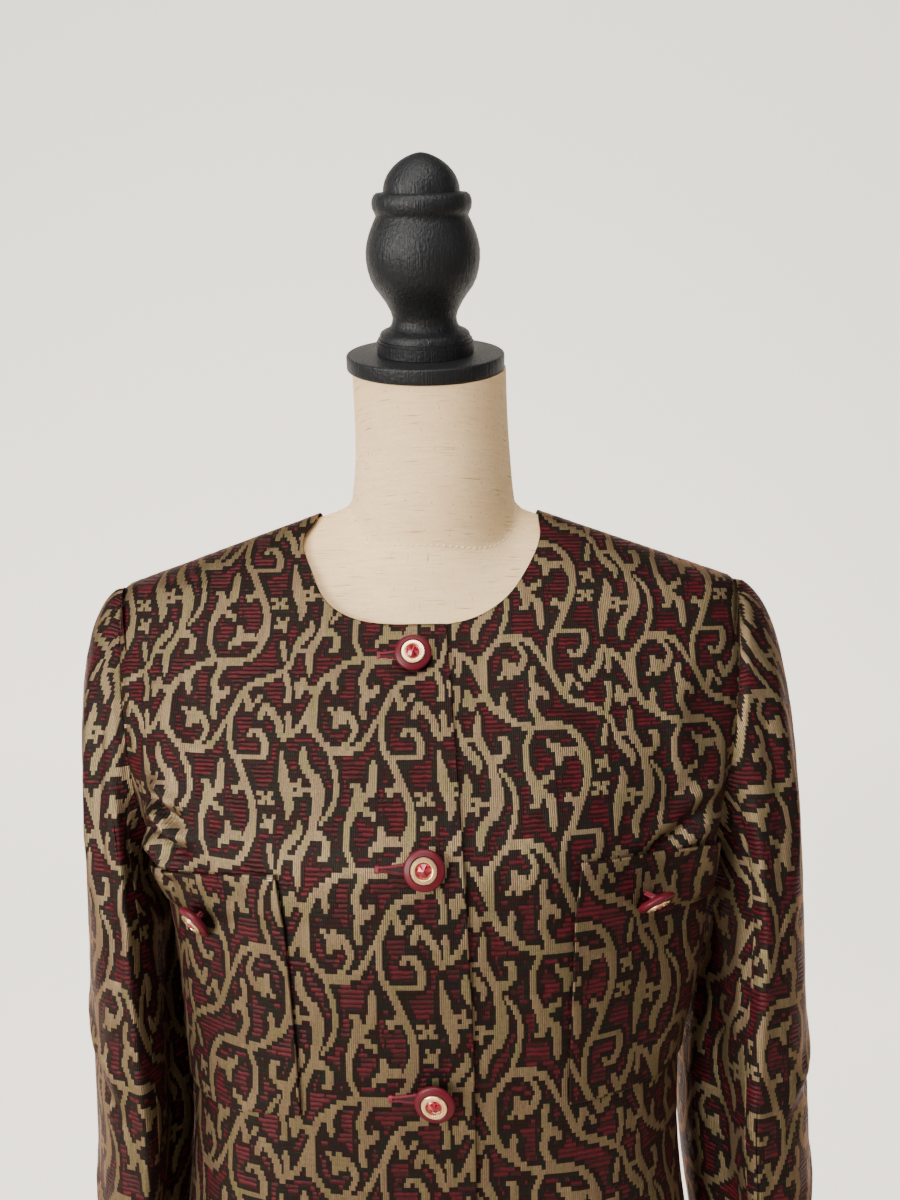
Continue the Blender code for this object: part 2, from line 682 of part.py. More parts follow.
def build_form():
    """The torso and its leaning neck in one piece, with a flat cap and a knob on top."""
    axis = Vector((0.0, -math.sin(NECK_LEAN), math.cos(NECK_LEAN)))
    ahead = Vector((0.0, -math.cos(NECK_LEAN), -math.sin(NECK_LEAN)))
    torso = add_object("dress_form", ring_loft("torso", [torso_ring(z) for z in TORSO_LEVELS]), linen)
    neck = bpy.data.objects.new("neck_shape", ring_loft("neck", neck_rings(axis, ahead)))
    shapes.objects.link(neck)
    neck.hide_render = True
    neck.display_type = "WIRE"
    join = torso.modifiers.new("Neck", "BOOLEAN")
    join.operation = "UNION"
    join.object = neck
    edge = 0.0015
    cap = [(0.0, CAP_HEIGHT), (CAP_RADIUS - edge, CAP_HEIGHT), (CAP_RADIUS, CAP_HEIGHT - edge),
           (CAP_RADIUS, edge), (CAP_RADIUS - edge, 0.0), (0.0, 0.0)]
    turned("neck_cap", cap, FORM_COLUMNS, black_wood, standing_on(NECK_TOP, axis))
    build_finial(standing_on(NECK_TOP + (CAP_HEIGHT + SEAM_GAP) * axis, axis))


def build_finial(place):
    """A turned knob: a dome on a ring, an urn-shaped body, a waist and a moulded foot on a plinth."""
    dome_base, dome_radius, top = 0.0890, 0.0232, 0.1103
    dome_steps, steps = 4, 18
    profile = [(0.0, top)]
    for k in range(1, dome_steps + 1):
        angle = math.pi / 2 * k / dome_steps
        profile.append((dome_radius * math.sin(angle), dome_base + (top - dome_base) * math.cos(angle)))
    collar = [(0.0275, 0.0885), (0.0303, 0.0850), (0.0303, 0.0805), (0.0283, 0.0760)]
    urn = [(0.0318, 0.0728), (0.0348, 0.0650), (0.0357, 0.0564), (0.0342, 0.0450), (0.0300, 0.0350)]
    waist = [(0.0237, 0.0262), (0.0205, 0.0165), (0.0226, 0.0105)]
    foot = [(0.0290, 0.0075), (0.0300, 0.0048), (0.0312, 0.0040), (0.0324, 0.0020)]
    profile += collar + urn + waist + foot
    raised = [(radius, height + FINIAL_PLINTH) for radius, height in profile]
    plinth_radius = foot[-1][0]
    turned("finial", [*raised, (plinth_radius, 0.0), (0.0, 0.0)], steps, black_wood, place)


def build_stand():
    edge = 0.003
    base_steps, pole_steps = 40, 20
    base = [(0.0, BASE_HEIGHT), (BASE_RADIUS - edge, BASE_HEIGHT), (BASE_RADIUS, BASE_HEIGHT - edge),
            (BASE_RADIUS, 0.0), (0.0, 0.0)]
    turned("stand_base", base, base_steps, black_metal, Matrix.Identity(4))
    pole_top = FORM_BOTTOM_Z - SEAM_GAP
    pole_low = BASE_HEIGHT + SEAM_GAP
    pole = [(0.0, pole_top), (POLE_RADIUS, pole_top), (POLE_RADIUS, pole_low), (0.0, pole_low)]
    turned("stand_pole", pole, pole_steps, black_metal, Matrix.Identity(4))


for leftover in list(bpy.data.objects):
    bpy.data.objects.remove(leftover, do_unlink=True)
parts = bpy.data.collections.new("tapestry_jacket_on_dress_form")
shapes = bpy.data.collections.new("shaping")
bpy.context.scene.collection.children.link(parts)
bpy.context.scene.collection.children.link(shapes)

tapestry = material("tapestry", (0.16, 0.07, 0.05), 0.75)
linen = material("linen", (0.76, 0.66, 0.51), 0.85)
black_wood = material("black_wood", (0.012, 0.013, 0.014), 0.35)
black_metal = material("black_metal", (0.015, 0.015, 0.016), 0.45)
burgundy = material("burgundy", (0.17, 0.02, 0.04), 0.35)
gilt = material("gilt", (0.62, 0.44, 0.18), 0.3, 1.0)
red_glass = material("red_glass", (0.30, 0.01, 0.02), 0.1)

front_grids = build_fronts()
build_back()
build_sleeves()
pocket_grids = build_pockets(front_grids)
build_buttons(pocket_grids)
build_form()
build_stand()
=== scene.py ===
"""A collarless tapestry jacket on a linen dress form with a black knob, pole and round base."""

import math

import bpy
import numpy as np
from mathutils import Matrix, Vector


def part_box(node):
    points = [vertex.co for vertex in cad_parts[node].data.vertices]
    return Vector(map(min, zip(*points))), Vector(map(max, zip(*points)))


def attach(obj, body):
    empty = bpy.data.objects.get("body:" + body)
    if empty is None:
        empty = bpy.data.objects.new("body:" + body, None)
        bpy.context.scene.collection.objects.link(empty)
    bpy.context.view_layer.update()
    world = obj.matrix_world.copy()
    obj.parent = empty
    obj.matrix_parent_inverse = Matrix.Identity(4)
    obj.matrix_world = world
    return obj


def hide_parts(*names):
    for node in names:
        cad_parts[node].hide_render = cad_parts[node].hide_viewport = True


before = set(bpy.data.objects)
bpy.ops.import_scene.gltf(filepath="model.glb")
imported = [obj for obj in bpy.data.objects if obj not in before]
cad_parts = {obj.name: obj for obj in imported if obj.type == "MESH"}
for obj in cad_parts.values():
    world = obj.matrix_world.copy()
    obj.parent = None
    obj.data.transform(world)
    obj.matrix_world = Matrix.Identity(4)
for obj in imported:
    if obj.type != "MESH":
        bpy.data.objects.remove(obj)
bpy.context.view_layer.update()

# The stand: a heavy cast disc with a rounded upper edge, and a steel tube that rises from it
# into the form. Both are powder coated in satin black.
BASE_RADIUS, BASE_HEIGHT, BASE_EDGE, BASE_CHAMFER = 0.170, 0.012, 0.003, 0.001
POLE_RADIUS, POLE_LOW, POLE_TOP = 0.0125, 0.0123, 0.6997
LEAST_RADIUS = 1e-5


def dye(red, green, blue):
    """A colour as seen, 0 to 255, as the shader's linear values."""
    def linear(level):
        level /= 255
        return level / 12.92 if level <= 0.04045 else ((level + 0.055) / 1.055) ** 2.4

    return linear(red), linear(green), linear(blue), 1.0


def new_finish(name):
    """A new material with its node tree and its shader."""
    made = bpy.data.materials.new(name)
    made.use_nodes = True
    return made, made.node_tree, made.node_tree.nodes["Principled BSDF"]


def join(tree, value, socket):
    """A socket given a value, or linked to another node's output."""
    if isinstance(value, bpy.types.NodeSocket):
        tree.links.new(value, socket)
    else:
        socket.default_value = value


def give(tree, node, **sockets):
    """A node's sockets given their values or links, by name."""
    for key, value in sockets.items():
        join(tree, value, node.inputs[key.replace("_", " ")])


def add_node(tree, kind, settings=None, **sockets):
    """A new shader node."""
    made = tree.nodes.new("ShaderNode" + kind)
    for key, value in (settings or {}).items():
        setattr(made, key, value)
    give(tree, made, **sockets)
    return made


def place_in(tree):
    """The place on the piece, which has its origin where the frame has."""
    return add_node(tree, "TexCoord").outputs["Object"]


def noise_of(tree, place, scale, detail=2.0):
    """The output of a Noise node."""
    return add_node(tree, "TexNoise", Vector=place, Scale=scale, Detail=detail).outputs[0]


def sum_of(tree, operation, *values):
    """The output of a Math node."""
    made = add_node(tree, "Math", {"operation": operation})
    for value, socket in zip(values, made.inputs):
        join(tree, value, socket)
    return made.outputs[0]


def mix_of(tree, share, first, second, kind="RGBA"):
    """The output of a Mix node, for colours or for plain values."""
    made = add_node(tree, "Mix", {"data_type": kind})
    one, other, out = {"RGBA": (6, 7, 2), "FLOAT": (2, 3, 0)}[kind]
    for value, k in ((share, 0), (first, one), (second, other)):
        join(tree, value, made.inputs[k])
    return made.outputs[out]


def spread_of(tree, value, low, high, to_low, to_high):
    """A value's range drawn out or in to another one."""
    made = add_node(tree, "MapRange", Value=value, From_Min=low, From_Max=high, To_Min=to_low, To_Max=to_high)
    return made.outputs[0]


def bump_of(tree, strength, distance, height):
    """The output of a Bump node."""
    return add_node(tree, "Bump", Strength=strength, Distance=distance, Height=height).outputs[0]


def pick(piece):
    """The piece alone selected, and active."""
    bpy.ops.object.select_all(action="DESELECT")
    bpy.context.view_layer.objects.active = piece
    piece.select_set(True)


def face_outward(sharp):
    """The faces of the piece in edit mode turned outward, and shaded smooth up to an angle."""
    bpy.ops.mesh.select_all(action="SELECT")
    bpy.ops.mesh.normals_make_consistent(inside=False)
    bpy.ops.object.mode_set(mode="OBJECT")
    bpy.ops.object.shade_smooth_by_angle(angle=math.radians(sharp))


def rounded_edge(radius, height, edge, steps):
    """The upper edge of a turned disc, from its side to its top."""
    return [(radius - edge + edge * math.cos(turn), height - edge + edge * math.sin(turn))
            for turn in np.linspace(0, math.pi / 2, steps)]


def turned_piece(name, profile, steps, sharp=35):
    """A piece turned on the Z axis from rings of radius and height, listed from the bottom up."""
    bpy.ops.object.select_all(action="DESELECT")
    radius, height = profile[0]
    bpy.ops.mesh.primitive_circle_add(vertices=steps, radius=radius, fill_type="NGON", location=(0, 0, height))
    piece = bpy.context.object
    piece.name = piece.data.name = name
    bpy.ops.object.transform_apply(location=True, rotation=True, scale=True)
    bpy.ops.object.mode_set(mode="EDIT")
    bpy.ops.mesh.select_mode(type="FACE")
    bpy.ops.mesh.select_all(action="SELECT")
    for next_radius, next_height in profile[1:]:
        next_radius = max(next_radius, LEAST_RADIUS)
        bpy.ops.mesh.extrude_region_move(TRANSFORM_OT_translate={"value": (0, 0, next_height - height)})
        grow = next_radius / radius
        bpy.ops.transform.resize(value=(grow, grow, 1))
        radius, height = next_radius, next_height
    face_outward(sharp)
    return piece


def set_in_place(piece, place):
    """The piece moved to its place, with the place kept in its mesh."""
    pick(piece)
    piece.matrix_world = place
    bpy.ops.object.transform_apply(location=True, rotation=True, scale=True)


def fix(piece, finish, slot, *nodes):
    """The piece given its finish, its place on the stand and the solids that it stands for."""
    piece.data.materials.clear()
    piece.data.materials.append(finish)
    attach(piece, "root")
    if nodes:
        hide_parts(*nodes)


powder_coat, tree, shader = new_finish("powder_coat")
place = place_in(tree)
handling = noise_of(tree, place, 9.0, 5.0)
give(tree, shader, Base_Color=mix_of(tree, handling, dye(26, 26, 27), dye(36, 35, 35)),
     Roughness=spread_of(tree, handling, 0.3, 0.7, 0.36, 0.52),
     Normal=bump_of(tree, 0.12, 0.0004, noise_of(tree, place, 700.0)))

base_profile = [
    (BASE_RADIUS - BASE_CHAMFER, 0.0), (BASE_RADIUS, BASE_CHAMFER),
    *rounded_edge(BASE_RADIUS, BASE_HEIGHT, BASE_EDGE, 6), (0.0, BASE_HEIGHT),
]
stand_base = turned_piece("base_disc", base_profile, 120)
fix(stand_base, powder_coat, "black_metal", "stand_base")
stand_pole = turned_piece("pole_tube", [(POLE_RADIUS, POLE_LOW), (POLE_RADIUS, POLE_TOP)], 48)
fix(stand_pole, powder_coat, "black_metal", "stand_pole")

# The dress form: a padded torso with a leaning neck, covered in natural linen that is stretched smooth.
# The neck's cover is sewn on round its foot, and the weave shows slubs of a browner thread.
FORM_LEVELS = ((0.700, 0.712, 4), (0.72, 1.28, 58), (1.285, 1.366, 28))
FORM_SHARP = 40
UNDER_SHOULDER, UNDER_FRONT, UNDER_BACK = 0.003, 0.0055, 0.006
NECK_POINT_Z, NECK_HALF_WIDTH, FRONT_NECK_DROP = 1.360, 0.075, 0.0764
NECK_ROUNDNESS = 2.8
SHOULDER_Y, ARMPIT_Z, SHOULDER_TIP_Z, ARMHOLE_TOP_X = 0.010, 1.118, 1.312, 0.210
SECTION_POWER = 2.5
DEPTH = np.array([
    # height, front, back
    (0.770, 0.1040, 0.104), (0.860, 0.1050, 0.094), (0.955, 0.1080, 0.086), (1.040, 0.1150, 0.092),
    (1.118, 0.1195, 0.099), (1.151, 0.1180, 0.101), (1.205, 0.0880, 0.102), (1.265, 0.0535, 0.096),
    (1.285, 0.0430, 0.092), (1.312, 0.0280, 0.085), (1.345, 0.0090, 0.072), (1.375, -0.005, 0.055),
])
TORSO = np.array([
    # height, side, front, back
    (0.700, 0.134, 0.074, 0.076), (0.712, 0.144, 0.082, 0.085), (0.780, 0.150, 0.086, 0.089),
    (0.860, 0.143, 0.086, 0.082), (0.955, 0.124, 0.084, 0.068), (1.040, 0.138, 0.098, 0.078),
    (1.118, 0.158, 0.1130, 0.091), (1.151, 0.164, 0.1110, 0.095), (1.205, 0.172, 0.0815, 0.098),
    (1.265, 0.181, 0.0470, 0.092), (1.285, 0.184, 0.0365, 0.088), (1.300, 0.182, 0.0285, 0.084),
    (1.310, 0.177, 0.0240, 0.080), (1.318, 0.168, 0.0185, 0.077), (1.326, 0.156, 0.0140, 0.074),
])
NECK = np.array([
    # down from the cap, half width, front, back
    (0.0003, 0.0500, 0.0495, 0.0490), (0.0300, 0.0508, 0.0525, 0.0470), (0.0550, 0.0522, 0.0562, 0.0440),
    (0.0770, 0.0544, 0.0592, 0.0410), (0.1000, 0.0580, 0.0608, 0.0380), (0.1150, 0.0605, 0.0615, 0.0350),
    (0.1400, 0.0580, 0.0560, 0.0270),
])
NECK_ASIDE = np.array([(0.0003, 0.0022), (0.0600, 0.0034), (0.1100, 0.0026), (0.1400, 0.0)])
THROAT = np.array([(1.286, 0.000), (1.300, 0.0075), (1.316, 0.0180), (1.332, 0.0262), (1.345, 0.0240), (1.366, 0.0)])
THROAT_WIDTH = 0.86
NECK_LEAN = math.radians(27)
NECK_TOP = Vector((0.0, -0.0256, 1.4504))
NECK_AXIS = Vector((0.0, -math.sin(NECK_LEAN), math.cos(NECK_LEAN)))
NECK_AHEAD = Vector((0.0, -math.cos(NECK_LEAN), -math.sin(NECK_LEAN)))
NECK_RINGS = 30
NECK_FOOT, FOOT_SOFTNESS, FOOT_PASSES = (1.302, 1.374), 0.5, 14
FORM_COLUMNS = 128
FORM_TURN = np.linspace(0, 2 * math.pi, FORM_COLUMNS, endpoint=False)


def through(table, column, at):
    """A column of a table at given heights, along a smooth curve through its rows."""
    heights, values = table[:, 0], table[:, column]
    slopes = np.gradient(values, heights)
    at = np.clip(np.asarray(at, float), heights[0], heights[-1])
    k = np.clip(np.searchsorted(heights, at) - 1, 0, len(heights) - 2)
    step = heights[k + 1] - heights[k]
    t = (at - heights[k]) / step
    start = (1 + 2 * t) * (1 - t) ** 2 * values[k] + t * (1 - t) ** 2 * step * slopes[k]
    end = t * t * (3 - 2 * t) * values[k + 1] - t * t * (1 - t) * step * slopes[k + 1]
    return start + end


def ease(value, low, high):
    """0 below low, 1 above high, smooth between."""
    t = np.clip((np.asarray(value, float) - low) / (high - low), 0.0, 1.0)
    return t * t * (3 - 2 * t)


def ridge_x(z):
    """Half width along the shoulder seam."""
    return NECK_HALF_WIDTH + (ARMHOLE_TOP_X - NECK_HALF_WIDTH) / (NECK_POINT_Z - SHOULDER_TIP_Z) * (NECK_POINT_Z - z)


def side_y(z):
    return SHOULDER_Y * ease(z, ARMPIT_Z, SHOULDER_TIP_Z)


def torso_ring(z):
    """A level section of the torso, from the front round to the wearer's left."""
    if z <= TORSO[-1, 0]:
        half, front, back = (through(TORSO, column, z) for column in (1, 2, 3))
    else:
        half = ridge_x(z + UNDER_SHOULDER)
        front, back = through(DEPTH, 1, z) - UNDER_FRONT, through(DEPTH, 2, z) - UNDER_BACK
    x = half * np.sign(np.sin(FORM_TURN)) * np.abs(np.sin(FORM_TURN)) ** (2 / SECTION_POWER)
    ahead = np.cos(FORM_TURN) > 0
    y = side_y(z) - np.where(ahead, front + side_y(z), back - side_y(z)) * np.cos(FORM_TURN)
    drop = np.clip((NECK_POINT_Z - z) / FRONT_NECK_DROP, 0.0, 1.0)
    opening = THROAT_WIDTH * NECK_HALF_WIDTH * (1 - drop ** NECK_ROUNDNESS) ** (1 / NECK_ROUNDNESS)
    if opening > 0:
        fullness = np.interp(z, THROAT[:, 0], THROAT[:, 1])
        y -= np.where(ahead, fullness * np.clip(1 - (x / opening) ** 2, 0, None) ** 2, 0.0)
    return np.stack([x, y, np.full_like(x, z)], 1)


def neck_ring(down):
    """A section of the neck, square to its leaning axis, in the same order."""
    half, front, back = (through(NECK, column, down) for column in (1, 2, 3))
    depth = np.where(np.cos(FORM_TURN) > 0, front, back) * np.cos(FORM_TURN)
    middle = np.array(NECK_TOP) - down * np.array(NECK_AXIS)
    middle[0] += np.interp(down, NECK_ASIDE[:, 0], NECK_ASIDE[:, 1])
    aside = (half * np.sin(FORM_TURN))[:, None] * np.array((1.0, 0, 0))
    return middle + depth[:, None] * np.array(NECK_AHEAD) + aside


def add_piece(name, corners, faces):
    """A new piece in the scene, from its corners and faces."""
    mesh = bpy.data.meshes.new(name)
    mesh.from_pydata(corners.tolist(), [], faces)
    piece = bpy.data.objects.new(name, mesh)
    bpy.context.scene.collection.objects.link(piece)
    return piece


def tube_faces(rings, sides):
    """The faces of a tube through rings of corners, with a flat end at each."""
    faces = [list(range(sides))[::-1], [(rings - 1) * sides + k for k in range(sides)]]
    for r in range(rings - 1):
        for k in range(sides):
            near, far = r * sides + k, r * sides + (k + 1) % sides
            faces.append([near, far, far + sides, near + sides])
    return faces


def padded_shape(name, rings):
    """A closed piece through rings of points."""
    faces = tube_faces(len(rings), FORM_COLUMNS)
    faces[0].reverse()
    piece = add_piece(name, np.concatenate(rings), faces)
    pick(piece)
    bpy.ops.object.mode_set(mode="EDIT")
    face_outward(FORM_SHARP)
    return piece


levels = np.concatenate([np.linspace(*stretch) for stretch in FORM_LEVELS])
dress_form = padded_shape("linen_form", [torso_ring(z) for z in levels])
downs = np.linspace(NECK[0, 0], NECK[-1, 0], NECK_RINGS)
neck = padded_shape("neck_shape", [neck_ring(down) for down in downs])
sew_on = dress_form.modifiers.new("Neck", "BOOLEAN")
sew_on.operation = "UNION"
sew_on.object = neck
bpy.ops.object.select_all(action="DESELECT")
bpy.context.view_layer.objects.active = dress_form
bpy.ops.object.modifier_apply(modifier=sew_on.name)
bpy.data.objects.remove(neck, do_unlink=True)
foot = dress_form.vertex_groups.new(name="neck_foot")
low, high = NECK_FOOT
foot.add([corner.index for corner in dress_form.data.vertices if low < corner.co.z < high], 1.0, "REPLACE")
soften = dress_form.modifiers.new("Foot", "SMOOTH")
soften.factor, soften.iterations, soften.vertex_group = FOOT_SOFTNESS, FOOT_PASSES, foot.name
bpy.ops.object.modifier_apply(modifier=soften.name)


def streaks_of(tree, place, around, up, detail=2.0):
    """Noise drawn out into streaks, upright or level."""
    drawn = add_node(tree, "Mapping", Vector=place, Scale=(around, around, up)).outputs[0]
    return noise_of(tree, drawn, 1.0, detail)


linen, tree, shader = new_finish("natural_linen")
place = place_in(tree)
threads = sum_of(tree, "ADD", streaks_of(tree, place, 260.0, 2600.0), streaks_of(tree, place, 2600.0, 200.0))
level_slub = spread_of(tree, streaks_of(tree, place, 62.0, 1500.0, 0.0), 0.72, 0.84, 0.0, 0.8)
upright_slub = spread_of(tree, streaks_of(tree, place, 1300.0, 90.0, 0.0), 0.75, 0.86, 0.0, 0.6)
bands = streaks_of(tree, place, 45.0, 420.0)
clouds = noise_of(tree, place, 22.0, 3.0)
colour = mix_of(tree, spread_of(tree, threads, 0.75, 1.25, 0.0, 1.0), dye(227, 195, 148), dye(242, 212, 166))
colour = mix_of(tree, spread_of(tree, clouds, 0.35, 0.65, 0.0, 0.4), colour, dye(226, 186, 136))
colour = mix_of(tree, spread_of(tree, bands, 0.35, 0.75, 0.0, 0.5), colour, dye(214, 176, 128))
colour = mix_of(tree, sum_of(tree, "MAXIMUM", level_slub, upright_slub), colour, dye(134, 94, 56))
give(tree, shader, Base_Color=colour, Roughness=0.92, Normal=bump_of(tree, 0.28, 0.0003, threads))
fix(dress_form, linen, "linen", "dress_form")

# The seam round the foot of the neck: a row of short hand stitches in cream thread
# that holds the neck's cover to the torso's, from one shoulder round the front to the other.
SEAM_STITCH, SEAM_SPACING, SEAM_THREAD = 0.0024, 0.0042, 0.00038
SEAM_REACH = math.radians(108)
SEAM_DOWN, SEAM_DOWN_STEPS, SEAM_TOP_Z = (0.050, 0.135), 240, TORSO[-1, 0] + 0.04
SEAM_PASSES, SEAM_START = 6, 0.001
THREAD_END = 0.35


def torso_front_y(x, z):
    """The torso's front at a place, under the neck."""
    ring = torso_ring(z)
    front = ring[np.argsort(ring[:, 0])]
    front = front[front[:, 1] <= side_y(z) + 0.001]
    return np.interp(x, front[:, 0], front[:, 1])


def unit(vectors):
    """Vectors made one long."""
    return vectors / np.maximum(np.linalg.norm(vectors, axis=-1, keepdims=True), 1e-12)


def way_along(points):
    """How far each point of a line lies from its first one, along the line."""
    return np.concatenate([[0.0], np.cumsum(np.linalg.norm(np.diff(points, axis=0), axis=1))])


def thread_tube(points, radius, sides=6):
    """The corners and faces of a thread that runs through points and is thinner at its ends."""
    points = np.asarray(points, float)
    along = unit(np.gradient(points, axis=0))
    aside = unit(np.cross(along, np.where(np.abs(along[:, 2:]) < 0.9, (0.0, 0.0, 1.0), (1.0, 0.0, 0.0))))
    over = np.cross(along, aside)
    turn = np.linspace(0, 2 * math.pi, sides, endpoint=False)
    ring = aside[:, None] * np.cos(turn)[:, None] + over[:, None] * np.sin(turn)[:, None]
    thick = np.full(len(points), radius)
    thick[[0, -1]] *= THREAD_END
    corners = (points[:, None] + ring * thick[:, None, None]).reshape(-1, 3)
    return corners, tube_faces(len(points), sides)


def stitched(name, threads):
    """One piece made of many threads."""
    corners, faces = [], []
    for made, sides in threads:
        start = sum(map(len, corners))
        corners.append(made)
        faces += [[start + k for k in face] for face in sides]
    piece = add_piece(name, np.concatenate(corners), faces)
    piece.data.shade_smooth()
    return piece


def thread_or_shade_finish(name, scale, dark, light, roughness, contrast=(0.0, 1.0)):
    """The finish of a thread, uneven between two shades of its dye; or, for a dark groove or slit, uneven between two
    tones of painted shade.
    """
    made, tree, shader = new_finish(name)
    fuzz = spread_of(tree, noise_of(tree, place_in(tree), scale), *contrast, 0.0, 1.0)
    give(tree, shader, Base_Color=mix_of(tree, fuzz, dark, light), Roughness=roughness)
    return made


neck_sides = np.stack([neck_ring(down) for down in np.linspace(*SEAM_DOWN, SEAM_DOWN_STEPS)])
seam = []
for k in range(FORM_COLUMNS):
    turn = (2 * math.pi * k / FORM_COLUMNS + math.pi) % (2 * math.pi) - math.pi
    if abs(turn) > SEAM_REACH:
        continue
    line = neck_sides[:, k]
    inside = [point[2] < SEAM_TOP_Z and point[1] > torso_front_y(point[0], point[2]) for point in line]
    if any(inside):
        seam.append((turn, *line[int(np.argmax(inside))]))
seam = np.array(sorted(seam))[:, 1:]
for _ in range(SEAM_PASSES):
    seam[1:-1] = (seam[:-2] + 2 * seam[1:-1] + seam[2:]) / 4
length = way_along(seam)
stitches = []
for start in np.arange(SEAM_START, length[-1] - SEAM_STITCH, SEAM_SPACING):
    at = start + SEAM_STITCH * np.linspace(0, 1, 5)
    stitch = np.stack([np.interp(at, length, seam[:, k]) for k in range(3)], 1)
    rise = SEAM_THREAD * (1.3 * np.sin(np.linspace(0, math.pi, 5)) - 0.5)
    for k, point in enumerate(stitch.tolist()):
        _, near, outward, _ = dress_form.closest_point_on_mesh(point)
        stitch[k] = near + float(rise[k]) * outward
    stitches.append(thread_tube(stitch, SEAM_THREAD))
neck_seam = stitched("neck_seam_stitches", stitches)

cream_thread = thread_or_shade_finish("cream_thread", 3000.0, dye(232, 208, 172), dye(248, 234, 208), 0.85)
fix(neck_seam, cream_thread, "linen")

# The cap and the knob on the neck: both turned from wood, painted satin black so that the grain still shows,
# and screwed on along the neck's leaning axis. The knob is a dome on a ring, an urn, a waist and a moulded foot.
CAP_RADIUS, CAP_HEIGHT, CAP_EDGE = 0.0512, 0.0097, 0.0015
CAP_GAP, PLINTH = 0.0003, 0.0055
KNOB = [
    # radius, height from the plinth's top, from the foot up
    (0.0312, 0.0016), (0.0303, 0.0018), (0.0303, 0.0034), (0.0293, 0.0036), (0.0291, 0.0054), (0.0284, 0.0070),
    (0.0268, 0.0082), (0.0238, 0.0094), (0.0217, 0.0112), (0.0208, 0.0135), (0.0204, 0.0165), (0.0215, 0.0205),
    (0.0245, 0.0262), (0.0277, 0.0308), (0.0309, 0.0350), (0.0332, 0.0398), (0.0346, 0.0450), (0.0354, 0.0508),
    (0.0353, 0.0564), (0.0344, 0.0610), (0.0332, 0.0650), (0.0315, 0.0692), (0.0298, 0.0728), (0.0289, 0.0744),
    (0.0282, 0.0760), (0.0290, 0.0778), (0.0301, 0.0800), (0.0304, 0.0828), (0.0301, 0.0850), (0.0291, 0.0872),
    (0.0275, 0.0885), (0.0232, 0.0890),
]
KNOB_DOME, KNOB_TOP, DOME_POWER = (0.0232, 0.0890), 0.1103, 1.25

black_paint, tree, shader = new_finish("black_painted_wood")
upright = add_node(tree, "Mapping", Vector=place_in(tree), Rotation=(-NECK_LEAN, 0.0, 0.0)).outputs[0]
pores = streaks_of(tree, upright, 900.0, 26.0, 4.0)
colour = mix_of(tree, spread_of(tree, pores, 0.42, 0.62, 0.0, 1.0), dye(5, 6, 8), dye(18, 20, 24))
colour = mix_of(tree, noise_of(tree, upright, 55.0, 3.0), colour, dye(11, 13, 16))
relief = sum_of(tree, "MULTIPLY_ADD", noise_of(tree, upright, 520.0), 0.8, pores)
give(tree, shader, Base_Color=colour, Roughness=spread_of(tree, pores, 0.35, 0.65, 0.58, 0.42),
     Specular_IOR_Level=0.32, Normal=bump_of(tree, 0.9, 0.0006, relief))

neck_frame = NECK_AXIS.to_track_quat("Z", "Y").to_matrix().to_4x4()
cap_edge = rounded_edge(CAP_RADIUS, CAP_HEIGHT, CAP_EDGE, 5)
cap_foot = [(radius, CAP_HEIGHT - height) for radius, height in reversed(cap_edge)]
neck_cap = turned_piece("cap_disc", [*cap_foot, *cap_edge, (0.0, CAP_HEIGHT)], 96)
set_in_place(neck_cap, Matrix.Translation(NECK_TOP) @ neck_frame)
fix(neck_cap, black_paint, "black_wood", "neck_cap")

dome = [(KNOB_DOME[0] * math.cos(turn) ** DOME_POWER, KNOB_DOME[1] + (KNOB_TOP - KNOB_DOME[1]) * math.sin(turn))
        for turn in np.linspace(0, math.pi / 2, 12)[1:]]
profile = [(KNOB[0][0], 0.0), *[(radius, height + PLINTH) for radius, height in KNOB + dome]]
finial = turned_piece("turned_knob", profile, 72, 50)
set_in_place(finial, Matrix.Translation(NECK_TOP + (CAP_HEIGHT + CAP_GAP) * NECK_AXIS) @ neck_frame)
fix(finial, black_paint, "black_wood", "finial")

